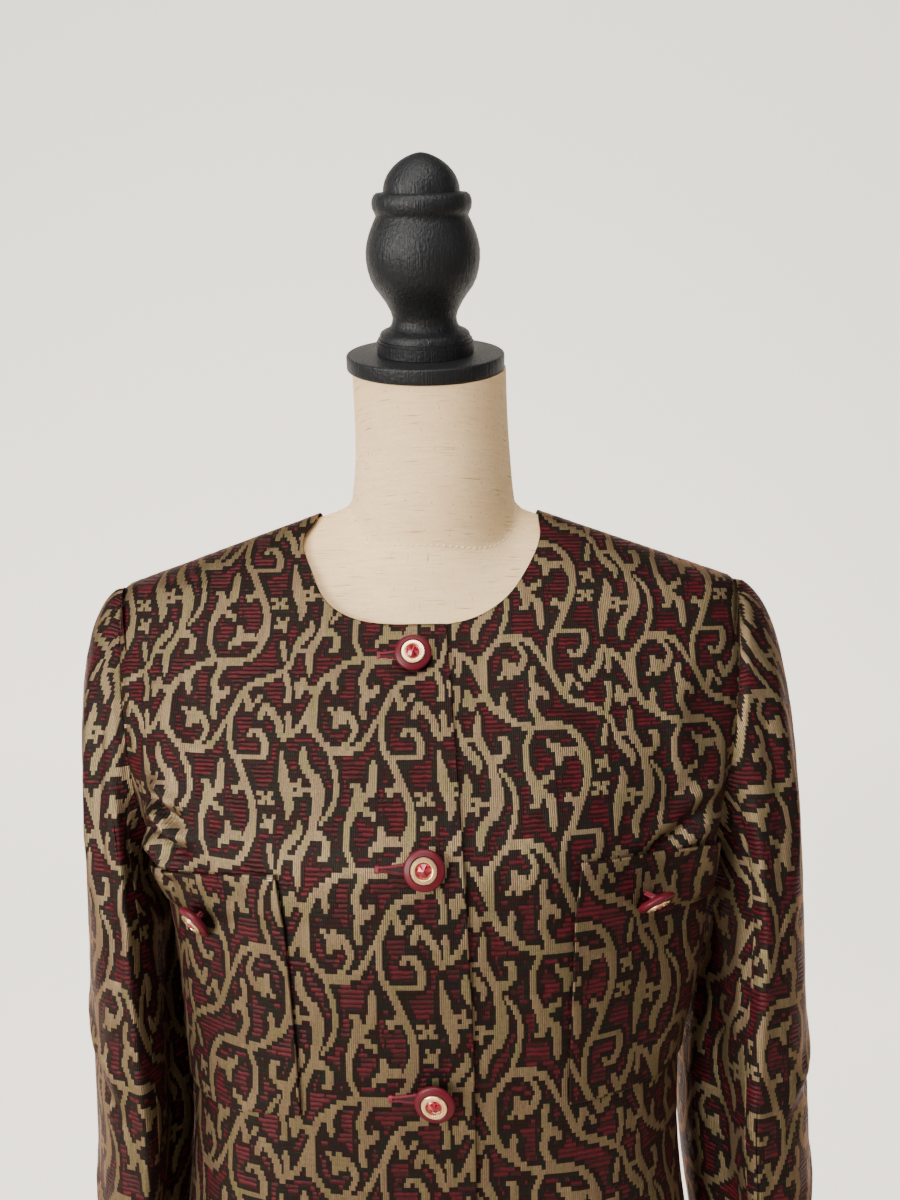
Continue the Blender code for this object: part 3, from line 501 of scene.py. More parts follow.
# The tapestry: a heavy figured cloth, woven in stepped cells one warp pair wide and one weft high.
# Olive-gold leaf scrolls with dark outlines lie on burgundy ribs, and the drawing repeats across and up.
CELL_ACROSS, CELL_UP = 0.0012, 0.0028
REPEAT_ACROSS, REPEAT_UP = 78, 46
SCROLLS = [
    # the bends of each stem and leaf, right and down from the top of the arch, with its half width, in mm
    [(-19, 32, 2.4), (-19, 17, 2.4), (-15, 8, 2.6), (-9, 2, 2.7), (0, 0, 3.0), (8, 2, 2.7), (12, 5, 2.3),
     (16, 13, 2.0), (20, 20, 1.9), (23, 25, 2.0)],
    [(-19, 32, 2.4), (-18, 38, 2.4), (-14, 46, 2.6), (-5, 54, 2.5), (5, 59, 2.4), (17, 59, 2.3), (29, 60, 2.6),
     (36, 67, 2.7), (40, 75, 2.6), (41, 87, 2.7), (38, 101, 2.7), (34, 110, 2.5), (29, 121, 2.4), (24, 129, 2.4)],
    [(24, 0, 2.4), (22, 12, 2.3), (23, 24, 2.3), (27, 34, 2.6), (33, 42, 2.8), (42, 46, 2.6), (54, 52, 2.6),
     (58, 58, 2.2)],
    [(-11, 85, 1.7), (-5, 95, 2.0), (-3, 107, 2.0), (-6, 121, 1.9), (-9, 129, 1.9)],
    [(0, 3, 1.9), (5, 8, 2.1), (6, 15, 2.4), (3, 21, 3.2), (-3, 20, 4.2), (-6, 16, 2.2)],
    [(-3, 21, 3.0), (-10, 27, 1.6)],
    [(-3, 21, 3.0), (-3, 28, 1.6)],
    [(11, 22, 2.6), (10, 29, 2.4), (12, 35, 3.2), (10, 44, 2.9), (12, 52, 2.5), (18, 58, 2.3)],
    [(12, 34, 2.6), (18, 38, 2.6), (19, 41, 1.5)],
    [(-7, 39, 2.3), (-8, 48, 2.8), (-5, 54, 2.6)],
    [(-23, 50, 1.4), (-24, 59, 3.2), (-23, 67, 3.0), (-19, 75, 2.6), (-16, 83, 2.8), (-14, 92, 3.7), (-13, 101, 4.2),
     (-16, 111, 3.8), (-22, 118, 3.3), (-24, 125, 3.0), (-24, 130, 1.4)],
    [(-23, 66, 2.2), (-31, 65, 1.6)],
    [(-18, 78, 2.4), (-11, 78, 2.4), (-7, 73, 2.6), (-8, 66, 2.6), (-11, 65, 1.6)],
    [(-15, 104, 2.6), (-22, 105, 2.8), (-27, 102, 1.8)],
    [(-34, 10, 2.4), (-28, 14, 2.4), (-24, 21, 2.3), (-20, 30, 2.4)],
    [(-22, 12, 1.2), (-21, 18, 1.8)],
    [(-19, 39, 2.4), (-27, 41, 3.2), (-30, 35, 2.0)],
    [(30, -5, 2.0), (37, -5, 2.2), (45, -3, 2.6), (45, 6, 2.5), (40, 12, 2.4), (35, 11, 1.9)],
    [(41, 21, 2.2), (45, 28, 2.8), (52, 19, 2.7), (56, 9, 2.5), (59, 12, 2.4), (59, 22, 2.4)],
    [(34, 26, 2.4), (32, 34, 2.4)],
    [(34, 29, 2.0), (39, 32, 1.5), (40, 35, 1.8)],
    [(58, 32, 2.8), (58, 40, 2.4), (56, 48, 2.4)],
    [(64, 42, 3.2), (67, 46, 1.8)],
    [(59, 61, 1.6), (62, 71, 3.0), (69, 79, 3.2), (70, 85, 1.6)],
    [(62, 87, 1.6), (63, 95, 3.4), (59, 110, 4.0), (56, 129, 1.4)],
    [(62, 106, 2.0), (68, 108, 2.0), (68, 112, 1.4)],
    [(47, 82, 2.0), (54, 87, 2.0)],
    [(53, 81, 1.8), (48, 88, 1.8)],
    [(44, 102, 2.0), (52, 97, 2.0)],
    [(45, 96, 1.8), (51, 102, 1.8)],
    [(18, 70, 2.2), (25, 75, 4.2), (35, 75, 2.4), (39, 82, 1.6)],
    [(25, 75, 4.0), (23, 83, 2.4)],
    [(8, 62, 2.4), (4, 74, 2.4), (5, 87, 2.6), (9, 96, 3.6), (9, 107, 2.6), (6, 109, 1.8)],
    [(9, 97, 2.6), (19, 90, 2.6)],
    [(13, 100, 2.4), (17, 104, 3.2), (18, 114, 3.2), (18, 123, 1.4)],
    [(28, 104, 3.3), (34, 107, 3.0)],
    [(54, 59, 1.9), (53, 66, 2.0), (52, 70, 3.0)],
]
SLIMNESS = 0.84
SHADOW_ASIDE, OUTLINE_LEAST, OUTLINE_MORE = (0.5, 0.7), 1.6, 2.8
GROUND, OUTLINE, GOLD = 0, 1, 2
GOLDS = np.array([dye(117, 101, 75), dye(122, 104, 79), dye(112, 100, 71), dye(116, 97, 75)])
DARKS = np.array([dye(22, 18, 14), dye(18, 22, 17), dye(22, 16, 18), dye(28, 15, 14)])
REDS = np.array([dye(64, 12, 22), dye(54, 11, 19), dye(42, 11, 15), dye(70, 13, 24)])
ON_TOP = np.array([0.0, 0.45, 1.0])


def scatter(*keys):
    """A number from 0 to 1 for each place, the same in each run."""
    total = sum(np.asarray(key, float) * factor for key, factor in zip(keys, (12.9898, 78.233, 37.719)))
    value = np.sin(total) * 43758.5453
    return value - np.floor(value)


def bend(points, steps=10):
    """Many points along a smooth line through a few."""
    points = np.array(points, float)
    ends = np.concatenate([2 * points[:1] - points[1:2], points, 2 * points[-1:] - points[-2:-1]])
    made = []
    for a, b, c, d in zip(ends, ends[1:], ends[2:], ends[3:]):
        for t in np.linspace(0, 1, steps, endpoint=False):
            made.append(b + 0.5 * t * (c - a + t * (2 * a - 5 * b + 4 * c - d + t * (3 * (b - c) + d - a))))
    return np.array([*made, points[-1]])


def chart_of_scrolls():
    """Which thread lies on top in each cell of one repeat, rows from the bottom up."""
    wide, high = REPEAT_ACROSS * CELL_ACROSS * 1000, REPEAT_UP * CELL_UP * 1000
    x = (np.arange(REPEAT_ACROSS) + 0.5) * CELL_ACROSS * 1000
    y = -(np.arange(REPEAT_UP) + 0.5) * CELL_UP * 1000
    clear = np.full((REPEAT_UP, REPEAT_ACROSS), np.inf)
    shadow = np.full_like(clear, np.inf)
    for scroll in SCROLLS:
        for px, py, half in bend(scroll):
            for drawn, (right, down) in ((clear, (0.0, 0.0)), (shadow, SHADOW_ASIDE)):
                dx = x[None, :] - px - right
                dy = y[:, None] - py - down
                dx -= wide * np.round(dx / wide)
                dy -= high * np.round(dy / high)
                np.minimum(drawn, np.hypot(dx, dy) - SLIMNESS * half, out=drawn)
    rows, columns = np.indices(clear.shape)
    reach = OUTLINE_LEAST + OUTLINE_MORE * scatter(columns // 5, rows // 2)
    return np.where(clear < 0, GOLD, np.where(np.minimum(clear, shadow) < reach, OUTLINE, GROUND))


chart = chart_of_scrolls()


def woven_colours(columns, rows, turned):
    """The colour of each cell; its fourth number says how far the gold thread lies on top, from 0 to 1."""
    if turned:
        columns, rows = -columns - 1, -rows - 1
    kind = chart[rows % REPEAT_UP, columns % REPEAT_ACROSS]
    streak = 0.90 + 0.14 * scatter(columns, rows // 9, 1) + 0.08 * (scatter(columns, rows, 2) - 0.5)
    run = scatter(rows, (columns + 5 * (rows % 4)) // 8, 3)
    patch = scatter(columns // 3, rows // 5, 4)
    made = np.zeros((len(columns), 4))
    for which, colours, pick_by in ((GROUND, REDS, run), (OUTLINE, DARKS, run), (GOLD, GOLDS, patch)):
        chosen = kind == which
        made[chosen] = colours[(pick_by[chosen] * len(colours)).astype(int)]
    made[:, :3] *= streak[:, None]
    made[:, 3] = ON_TOP[kind]
    return made


tapestry, tree, shader = new_finish("leaf_scroll_tapestry")
weave = add_node(tree, "Attribute", {"attribute_name": "weave"})
is_gold = weave.outputs["Alpha"]
thread = add_node(tree, "UVMap", {"uv_map": "threads"}).outputs[0]
split = add_node(tree, "SeparateXYZ", Vector=thread)
wander = spread_of(tree, noise_of(tree, thread, 240.0), 0.0, 1.0, -0.3, 0.3)
rib, cord = (
    sum_of(tree, "SINE", sum_of(tree, "MULTIPLY", sum_of(tree, "FRACT", way), math.pi)) for way in (
        sum_of(tree, "MULTIPLY_ADD", split.outputs[1], 1 / CELL_UP, wander),
        sum_of(tree, "DIVIDE", split.outputs[0], CELL_ACROSS),
    )
)
fine = noise_of(tree, thread, 1900.0)
hairs = spread_of(tree, fine, 0.3, 0.7, 0.84, 1.14)
mottle = spread_of(tree, noise_of(tree, thread, 620.0), 0.3, 0.7, 0.86, 1.14)
# rib_shade and cord_shade make the ribs and cords lighter at their crowns and darker in the grooves between them:
# painted shade beside the bump
rib_shade = spread_of(tree, sum_of(tree, "POWER", rib, 1.9), 0.0, 1.0, 0.34, 1.16)
cord_shade = spread_of(tree, cord, 0.0, 1.0, 0.90, 1.06)
lies_smooth = spread_of(tree, is_gold, 0.0, 0.55, 0.0, 1.0)
shade = mix_of(tree, lies_smooth, rib_shade, cord_shade, "FLOAT")
shade = sum_of(tree, "MULTIPLY", shade, sum_of(tree, "MULTIPLY", hairs, mottle))
tinted = add_node(tree, "VectorMath", {"operation": "SCALE"}, Scale=shade)
join(tree, weave.outputs["Color"], tinted.inputs[0])
height = mix_of(tree, lies_smooth, rib, sum_of(tree, "MULTIPLY_ADD", cord, 0.3, 0.6), "FLOAT")
height = sum_of(tree, "MULTIPLY_ADD", fine, 0.35, height)
give(tree, shader, Base_Color=tinted.outputs[0], Normal=bump_of(tree, 0.8, 0.0007, height),
     Roughness=spread_of(tree, is_gold, 0.0, 1.0, 0.52, 0.46),
     Metallic=spread_of(tree, is_gold, 0.0, 1.0, 0.12, 0.85),
     Specular_IOR_Level=0.22, Specular_Tint=dye(255, 214, 200),
     Sheen_Weight=0.05, Sheen_Roughness=0.4, Sheen_Tint=dye(180, 122, 116))

# The back of the jacket: one wide piece cut on the fold at centre back, shaped in at the waist.
# Its side, shoulder and armhole edges are sewn to the fronts and sleeves, its hem and neck are turned in.
CLOTH = 0.002
HEM_Z = 0.770
BACK_NECK_DROP = 0.015
ARMHOLE_MID_Z, ARMHOLE_HALF_HEIGHT = 1.215, 0.097
ARMHOLE_LOW_X, ARMHOLE_FRONT, ARMHOLE_BACK = 0.172, 0.047, 0.062
SEAM_DIP, SEAM_DIP_REACH = 0.0018, 0.007
TURNING, TURNS_STEADY = 0.008, (0.80, 0.97)
GOLD_RELIEF = 0.0003
WELD, SHORT_EDGE = 2e-5, 30
CREASE_WAVER, CREASE_SWELL = 0.3, 0.25
BACK_FADE, BACK_SHIFT = (0.93, 1.0), (0, 8)
EDGE_ROLL = [
    # down from the outside in cloth thicknesses, in from the edge or None for the whole turning, how light the painted
    # shade leaves it
    (0.25, -0.0002, 0.94), (0.65, -0.0001, 0.72), (1.0, 0.0005, 0.45), (1.0, None, 0.4),
]
BACK_CREASES = [
    # where each starts, where it ends, half width, height
    (-0.062, 1.030, -0.050, 0.800, 0.018, 0.0045), (0.054, 1.010, 0.066, 0.790, 0.020, 0.0045),
    (0.008, 0.920, -0.006, 0.780, 0.024, 0.0035), (0.172, 1.185, 0.112, 1.120, 0.010, 0.0040),
    (0.168, 1.160, 0.118, 1.104, 0.008, -0.0030), (-0.170, 1.172, -0.116, 1.100, 0.010, 0.0040),
    (-0.166, 1.146, -0.122, 1.088, 0.008, -0.0025), (0.148, 0.985, 0.090, 0.950, 0.009, 0.0025),
    (-0.146, 0.975, -0.094, 0.945, 0.009, 0.0025), (-0.120, 1.290, -0.070, 1.240, 0.012, 0.0020),
]
SIDE = np.array([(HEM_Z, 0.178), (0.860, 0.168), (0.955, 0.160), (1.040, 0.164), (ARMPIT_Z, ARMHOLE_LOW_X)])


def armhole_angle(z):
    return np.arccos(np.clip((np.asarray(z, float) - ARMHOLE_MID_Z) / ARMHOLE_HALF_HEIGHT, -1.0, 1.0))


def armhole_height(angle):
    return ARMHOLE_MID_Z + ARMHOLE_HALF_HEIGHT * np.cos(angle)


def armhole_x(z):
    share = (1 + np.cos(armhole_angle(z))) / 2
    return ARMHOLE_LOW_X + (ARMHOLE_TOP_X - ARMHOLE_LOW_X) * share ** 0.8


def armhole_depth(z, back):
    angle = armhole_angle(z)
    sine = np.maximum(np.sin(angle), 0.0)
    if back:
        return ARMHOLE_BACK * sine ** 1.2 * (1 - 0.1 * np.cos(angle))
    return ARMHOLE_FRONT * sine ** 1.3 * (1 - 0.25 * np.cos(angle))


def armhole_line(angle):
    """Points of the armhole; the angle runs from its top round the front."""
    turn = np.mod(angle, 2 * math.pi)
    z = armhole_height(turn)
    depth = np.where(turn <= math.pi, -armhole_depth(z, False), armhole_depth(z, True))
    return np.stack([armhole_x(z), side_y(z) + depth, z], -1)


def into_armhole(angle):
    """The way from the armhole's edge to its middle."""
    line = armhole_line(angle)
    ahead, up = side_y(line[..., 2]) - line[..., 1], ARMHOLE_MID_Z - line[..., 2]
    return unit(np.stack([np.zeros_like(ahead), ahead, up], -1))


def drawn_in(angle, away):
    """How far the armhole's stitches draw the cloth in at a distance from them."""
    share = (1 - ease(away, 0.0, SEAM_DIP_REACH)) * ease(armhole_height(angle), ARMPIT_Z, ARMPIT_Z + 0.05)
    return SEAM_DIP * share[..., None] * into_armhole(angle)


def drawn_body(x, z, back):
    """The same for a place on the front or the back."""
    angle = armhole_angle(z)
    away = np.where(z < SHOULDER_TIP_Z, side_x(z) - x, np.hypot(ARMHOLE_TOP_X - x, z - SHOULDER_TIP_Z))
    return drawn_in(-angle if back else angle, away)


def side_x(z):
    """Half width at the side seam, the armhole or the shoulder seam."""
    z = np.asarray(z, float)
    return np.where(z <= ARMPIT_Z, through(SIDE, 1, z), np.where(z < SHOULDER_TIP_Z, armhole_x(z), ridge_x(z)))


def body_place(x, z, back):
    """Points of the jacket's outside on the front or the back."""
    edge = armhole_depth(z, back)
    power = np.minimum(0.5 + 0.5 * (edge / (ARMHOLE_BACK if back else ARMHOLE_FRONT)) ** 2, 1.0)
    round_off = np.maximum(1 - np.minimum(np.abs(x) / side_x(z), 1.0) ** SECTION_POWER, 0.0) ** power
    if back:
        y = side_y(z) + edge + (through(DEPTH, 2, z) - side_y(z) - edge) * round_off
    else:
        y = side_y(z) - edge - (through(DEPTH, 1, z) + side_y(z) - edge) * round_off
    return np.stack([x, y, z * np.ones_like(x)], -1)


def level_heights(place, low, high, count):
    """The heights of weft rows one cell apart, measured along a line of the cloth from half a cell over its hem."""
    z = np.linspace(low, high, count)
    length = way_along(place(z))
    rows = np.arange(-1, math.ceil(length[-1] / CELL_UP) + 2)
    way = (rows + 0.5) * CELL_UP
    heights = np.interp(way, length, z)
    heights[0] = low - CELL_UP / 2
    above = way > length[-1]
    heights[above] = high + way[above] - length[-1]
    return rows, heights


def within(outline, x, y):
    """Which points lie inside a closed outline."""
    inside = np.zeros(x.shape, bool)
    for (ax, ay), (bx, by) in zip(outline, np.roll(outline, -1, axis=0)):
        if ay == by:
            continue
        crosses = (ay > y) != (by > y)
        inside ^= crosses & (x < (bx - ax) * (y - ay) / (by - ay) + ax)
    return inside


def onto(outline, points):
    """Each point moved to the nearest place on a closed outline."""
    start = outline
    step = np.roll(outline, -1, axis=0) - outline
    size = np.maximum((step * step).sum(1), 1e-18)
    made = np.empty_like(points)
    for k, point in enumerate(points):
        t = np.clip(((point - start) * step).sum(1) / size, 0.0, 1.0)
        near = start + step * t[:, None]
        made[k] = near[((near - point) ** 2).sum(1).argmin()]
    return made


def cut_cloth(surface, ends, rows, heights, outline, scale, shift, turned=False):
    """A piece of cloth cut along an outline: its mesh data with a quad for each woven cell.

    surface gives points from a place across and a height, ends the range across at a height, and
    the outline is in place across times scale, and height.
    """
    spread = (1 - np.cos(np.linspace(0, math.pi, 240))) / 2
    widest, tables = [], []
    for z in heights:
        low, high = ends(z)
        p = low + (high - low) * spread
        length = way_along(surface(p, np.full_like(p, z)))
        length -= np.interp(0.0, p, length)
        tables.append((p, length))
        widest += [length[0], length[-1]]
    columns = np.arange(math.floor(min(widest) / CELL_ACROSS) - 1, math.ceil(max(widest) / CELL_ACROSS) + 2)
    u = columns * CELL_ACROSS
    across = np.empty((len(rows), len(columns)))
    for r, (p, length) in enumerate(tables):
        across[r] = np.interp(u, length, p)
        across[r] += (np.minimum(u - length[0], 0) + np.maximum(u - length[-1], 0)) / scale
    up = np.repeat(heights[:, None], len(columns), axis=1)
    inside = within(outline, across * scale, up)
    cell = inside[:-1, :-1] | inside[1:, :-1] | inside[:-1, 1:] | inside[1:, 1:]
    number = np.arange(across.size).reshape(across.shape)
    quads = np.stack([number[:-1, :-1], number[:-1, 1:], number[1:, 1:], number[1:, :-1]], -1)[cell]
    used = np.unique(quads)
    across, up, inside = across.ravel(), up.ravel(), inside.ravel()
    trimmed = used[~inside[used]]
    edge = onto(outline, np.stack([across[trimmed] * scale, up[trimmed]], 1))
    across[trimmed], up[trimmed] = edge[:, 0] / scale, edge[:, 1]
    at = np.full(across.size, -1)
    at[used] = np.arange(len(used))
    row_index, column_index = np.nonzero(cell)
    colours = woven_colours(columns[column_index] + shift[0], rows[row_index] + shift[1], turned)
    uv = np.stack(np.meshgrid(u, rows * CELL_UP), -1).reshape(-1, 2)[used]
    return {
        "across": across[used], "up": up[used], "quads": at[quads], "colours": colours, "uv": uv,
        "points": surface(across[used], up[used]),
    }


def normals_of(points, quads):
    """Outward unit normals at the points of a mesh of quads."""
    a, b, c, d = (points[quads[:, k]] for k in range(4))
    face = np.cross(c - a, d - b)
    made = np.zeros_like(points)
    for k in range(4):
        np.add.at(made, quads[:, k], face)
    return unit(made)


def edge_lines(faces):
    """The closed lines of points round the edges of a piece, with the face beside each step."""
    beside = {}
    for number, face in enumerate(faces):
        for a, b in zip(face, face[1:] + face[:1]):
            beside[a, b] = number
    step = {a: (b, number) for (a, b), number in beside.items() if (b, a) not in beside}
    lines = []
    while step:
        at = next(iter(step))
        line, numbers = [], []
        while at in step:
            line.append(at)
            at, number = step.pop(at)
            numbers.append(number)
        if len(line) > SHORT_EDGE:
            lines.append((np.array(line), numbers))
    return lines


def evened(values, times):
    """Values along a closed line, each evened out with those beside it."""
    for _ in range(times):
        values = (np.roll(values, 1, axis=0) + 2 * values + np.roll(values, -1, axis=0)) / 4
    return values


def sew(name, cut, points, mirrored=False, turning=TURNING):
    """The finished cloth piece: gold threads a little proud, and the edges turned in all round, their turned faces
    darkened with painted shade.
    """
    quads = cut["quads"][:, ::-1] if mirrored else cut["quads"]
    places = np.round(points / WELD).astype(np.int64)
    _, first, same = np.unique(places, axis=0, return_index=True, return_inverse=True)
    points, uv, quads = points[first], cut["uv"][first], same.reshape(-1)[quads]
    faces = [list(dict.fromkeys(face)) for face in quads.tolist()]
    whole = np.array([len(face) > 2 for face in faces])
    faces = [face for face in faces if len(face) > 2]
    quads, colours = quads[whole], cut["colours"][whole]
    normals = normals_of(points, quads)
    gold, count = np.zeros(len(points)), np.zeros(len(points))
    for k in range(4):
        np.add.at(gold, quads[:, k], colours[:, 3])
        np.add.at(count, quads[:, k], 1)
    points = points + normals * (GOLD_RELIEF * gold / np.maximum(count, 1))[:, None]
    points, uv, colours = [points], [uv], [colours]
    total = len(points[0])
    for line, beside in edge_lines(faces):
        place = points[0][line]
        normal = evened(normals[line], 6)
        along = evened(unit(np.roll(place, -1, axis=0) - np.roll(place, 1, axis=0)), 5)
        steady = np.linalg.norm(normal, axis=1) * np.linalg.norm(along, axis=1)
        full = evened(ease(steady, *TURNS_STEADY), 3)[:, None]
        normal = unit(normal) * full
        inward = unit(np.cross(normal, along)) * full
        ring = line
        for drop, into, shade in EDGE_ROLL:
            points.append(place - normal * (drop * CLOTH) + inward * (turning if into is None else into))
            uv.append(uv[0][line])
            made = total + np.arange(len(line))
            total += len(line)
            for k, number in enumerate(beside):
                after = (k + 1) % len(line)
                faces.append([int(ring[after]), int(ring[k]), int(made[k]), int(made[after])])
            # the turned faces take the colour of the face beside them, darkened step by step with painted shade
            colours.append(colours[0][beside] * (shade, shade, shade, 1.0))
            ring = made
    piece = add_piece(name, np.concatenate(points), faces)
    mesh = piece.data
    mesh.attributes.new("weave", "FLOAT_COLOR", "FACE").data.foreach_set("color", np.concatenate(colours).ravel())
    corners = np.empty(len(mesh.loops), int)
    mesh.loops.foreach_get("vertex_index", corners)
    mesh.uv_layers.new(name="threads").uv.foreach_set("vector", np.concatenate(uv)[corners].ravel())
    mesh.shade_smooth()
    return piece


def creased(creases, across, up):
    """How far a cloth stands out along its creases, which waver and fade out at both ends."""
    lift = np.zeros_like(across)
    for start_x, start_z, end_x, end_z, half_width, height in creases:
        run, drop = end_x - start_x, end_z - start_z
        size = math.hypot(run, drop)
        along = ((across - start_x) * run + (up - start_z) * drop) / size ** 2
        aside = ((across - start_x) * drop - (up - start_z) * run) / size
        aside += CREASE_WAVER * half_width * np.sin(7 * along + 90 * start_x)
        width = half_width * (1 + CREASE_SWELL * np.sin(5 * along + 50 * start_z))
        fade = ease(along, -0.3, 0.3) * (1 - ease(along, 0.7, 1.3))
        lift += height * fade * np.exp(-(aside / width) ** 2)
    return lift


def neck_line(drop, count=60):
    """Half width and height of the neckline, from its low point to the shoulder."""
    turn = np.linspace(0, math.pi / 2, count)
    share = 2 / NECK_ROUNDNESS
    return NECK_HALF_WIDTH * np.sin(turn) ** share, NECK_POINT_Z - drop * np.cos(turn) ** share


def side_line(count=220):
    """The outer edge of a front or of half the back, from the hem to the neck point."""
    z = np.concatenate([np.linspace(HEM_Z, ARMPIT_Z, count), armhole_height(np.linspace(math.pi, 0, count)),
                        np.linspace(SHOULDER_TIP_Z, NECK_POINT_Z, 60)])
    z = np.concatenate([z[:1], z[1:][np.diff(z) > 1e-7]])
    return np.stack([side_x(z), z], 1)


edge = side_line()
neck_x, neck_z = neck_line(BACK_NECK_DROP)
neck_half = np.stack([neck_x, neck_z], 1)[::-1]
outline = np.concatenate([edge, neck_half, neck_half[::-1] * (-1, 1), edge[::-1] * (-1, 1)])


def back_place(x, z):
    return body_place(x, z, True)


rows, heights = level_heights(lambda z: back_place(np.zeros_like(z), z), HEM_Z, NECK_POINT_Z, 600)
cut = cut_cloth(back_place, lambda z: (-side_x(z), side_x(z)), rows, heights, outline, 1.0, BACK_SHIFT)
points = cut["points"]
inner = 1 - ease(np.abs(points[:, 0]) / side_x(points[:, 2]), *BACK_FADE)
lift = creased(BACK_CREASES, points[:, 0], points[:, 2]) * inner
points -= lift[:, None] * normals_of(points, cut["quads"])
points += drawn_body(np.abs(points[:, 0]), points[:, 2], True)
back = sew("jacket_back", cut, points, True)
fix(back, tapestry, "tapestry", "back")

# The fronts: the wearer's right front laps over the left one and buttons there, on a line that leans a little.
# Each is cut from neck to hem in one piece, and the right one has the drawing upside down.
LAP, LAP_LIFT, LAP_FADE = 0.0215, 0.0026, (0.032, 0.075)
BUTTON_LINE_X, BUTTON_LINE_LEAN = 0.002, 0.0116
BUTTON_LINE_LEANS_FROM, BUTTON_LINE_TOP = 1.0, 1.265
NECK_FLARE = {"right": 0.007, "left": 0.003}
NECK_FLARE_Z = 1.341
FRONT_FADE, FRONT_ROWS_X, FRONT_REACH_X = (0.94, 1.0), 0.05, -0.035
ARCH_PLACE = {"right": (-0.0506, 1.2114), "left": (0.053, 1.1614)}
FRONT_CREASES = {
    # where each starts, where it ends, half width, height: soft folds first, then the crumple at the armhole
    "right": [
        (0.163, 1.250, 0.158, 1.120, 0.016, 0.006), (0.120, 1.000, 0.128, 0.800, 0.026, 0.007),
        (0.150, 1.245, 0.140, 1.185, 0.008, -0.003), (0.167, 1.190, 0.149, 1.177, 0.0038, 0.0050),
        (0.165, 1.182, 0.147, 1.168, 0.0032, -0.0045), (0.167, 1.175, 0.143, 1.158, 0.0042, 0.0080),
        (0.166, 1.165, 0.146, 1.150, 0.0034, -0.0055), (0.172, 1.156, 0.150, 1.140, 0.0042, 0.0065),
        (0.171, 1.147, 0.152, 1.132, 0.0034, -0.0040),
        (0.138, 1.120, 0.150, 1.030, 0.010, 0.0025), (0.085, 0.960, 0.060, 0.870, 0.014, 0.0025),
    ],
    "left": [
        (0.172, 1.190, 0.156, 1.045, 0.018, 0.010), (0.118, 0.985, 0.126, 0.800, 0.028, 0.007),
        (0.172, 1.184, 0.119, 1.156, 0.0045, 0.0035), (0.172, 1.175, 0.128, 1.150, 0.0035, -0.0028),
        (0.170, 1.164, 0.138, 1.147, 0.0040, 0.0030), (0.158, 1.250, 0.150, 1.195, 0.009, 0.0025),
        (0.146, 1.110, 0.134, 1.020, 0.010, 0.0025), (0.080, 0.965, 0.062, 0.870, 0.014, 0.0025),
    ],
}


def centre_front_x(z):
    """The line of the buttons, which leans to the wearer's right near the neck."""
    share = (np.asarray(z, float) - BUTTON_LINE_LEANS_FROM) / (BUTTON_LINE_TOP - BUTTON_LINE_LEANS_FROM)
    return BUTTON_LINE_X - BUTTON_LINE_LEAN * np.clip(share, 0.0, 1.1) ** 1.7


def front_lift(side, x, z):
    """How far a front stands out in its creases, or lies back under the other front."""
    lift = creased(FRONT_CREASES[side], x, z) * (1 - ease(x / side_x(z), *FRONT_FADE))
    if side == "left":
        lift -= LAP_LIFT * (1 - ease(x - centre_front_x(z), *LAP_FADE))
    return lift


def front_outline(side, sign):
    corner = NECK_POINT_Z - FRONT_NECK_DROP
    half, z = neck_line(FRONT_NECK_DROP)
    lean = sign * centre_front_x(corner) * (NECK_POINT_Z - z) / FRONT_NECK_DROP
    flare = ease(z, SHOULDER_TIP_Z, NECK_FLARE_Z) * (1 - ease(z, NECK_FLARE_Z, NECK_POINT_Z))
    neck = np.stack([half + lean + NECK_FLARE[side] * flare, z], 1)[::-1]
    z = np.linspace(corner, HEM_Z, 200)
    lap_edge = np.stack([sign * centre_front_x(z) - LAP, z], 1)
    return np.concatenate([side_line(), neck, lap_edge])


def front_place(x, z):
    return body_place(x, z, False)


for side, sign in (("right", -1), ("left", 1)):
    outline = front_outline(side, sign)
    rows, heights = level_heights(
        lambda z: front_place(np.full_like(z, FRONT_ROWS_X), z), HEM_Z, NECK_POINT_Z, 600)
    arch_x, arch_z = ARCH_PLACE[side]
    arch_row = np.interp(arch_z, heights, rows)
    reach = np.linspace(0, abs(arch_x), 50)
    arch_column = way_along(front_place(reach, np.full_like(reach, arch_z)))[-1] / CELL_ACROSS
    shift = (-round(arch_column), -round(arch_row))
    cut = cut_cloth(
        front_place, lambda z: (FRONT_REACH_X, side_x(z)), rows, heights, outline, 1.0, shift, side == "right")
    points = cut["points"]
    drawn = drawn_body(points[:, 0], points[:, 2], False)
    points += front_lift(side, points[:, 0], points[:, 2])[:, None] * normals_of(points, cut["quads"]) + drawn
    piece = sew(f"jacket_front_{side}", cut, points * (sign, 1, 1), sign < 0)
    fix(piece, tapestry, "tapestry", f"front_{side}")

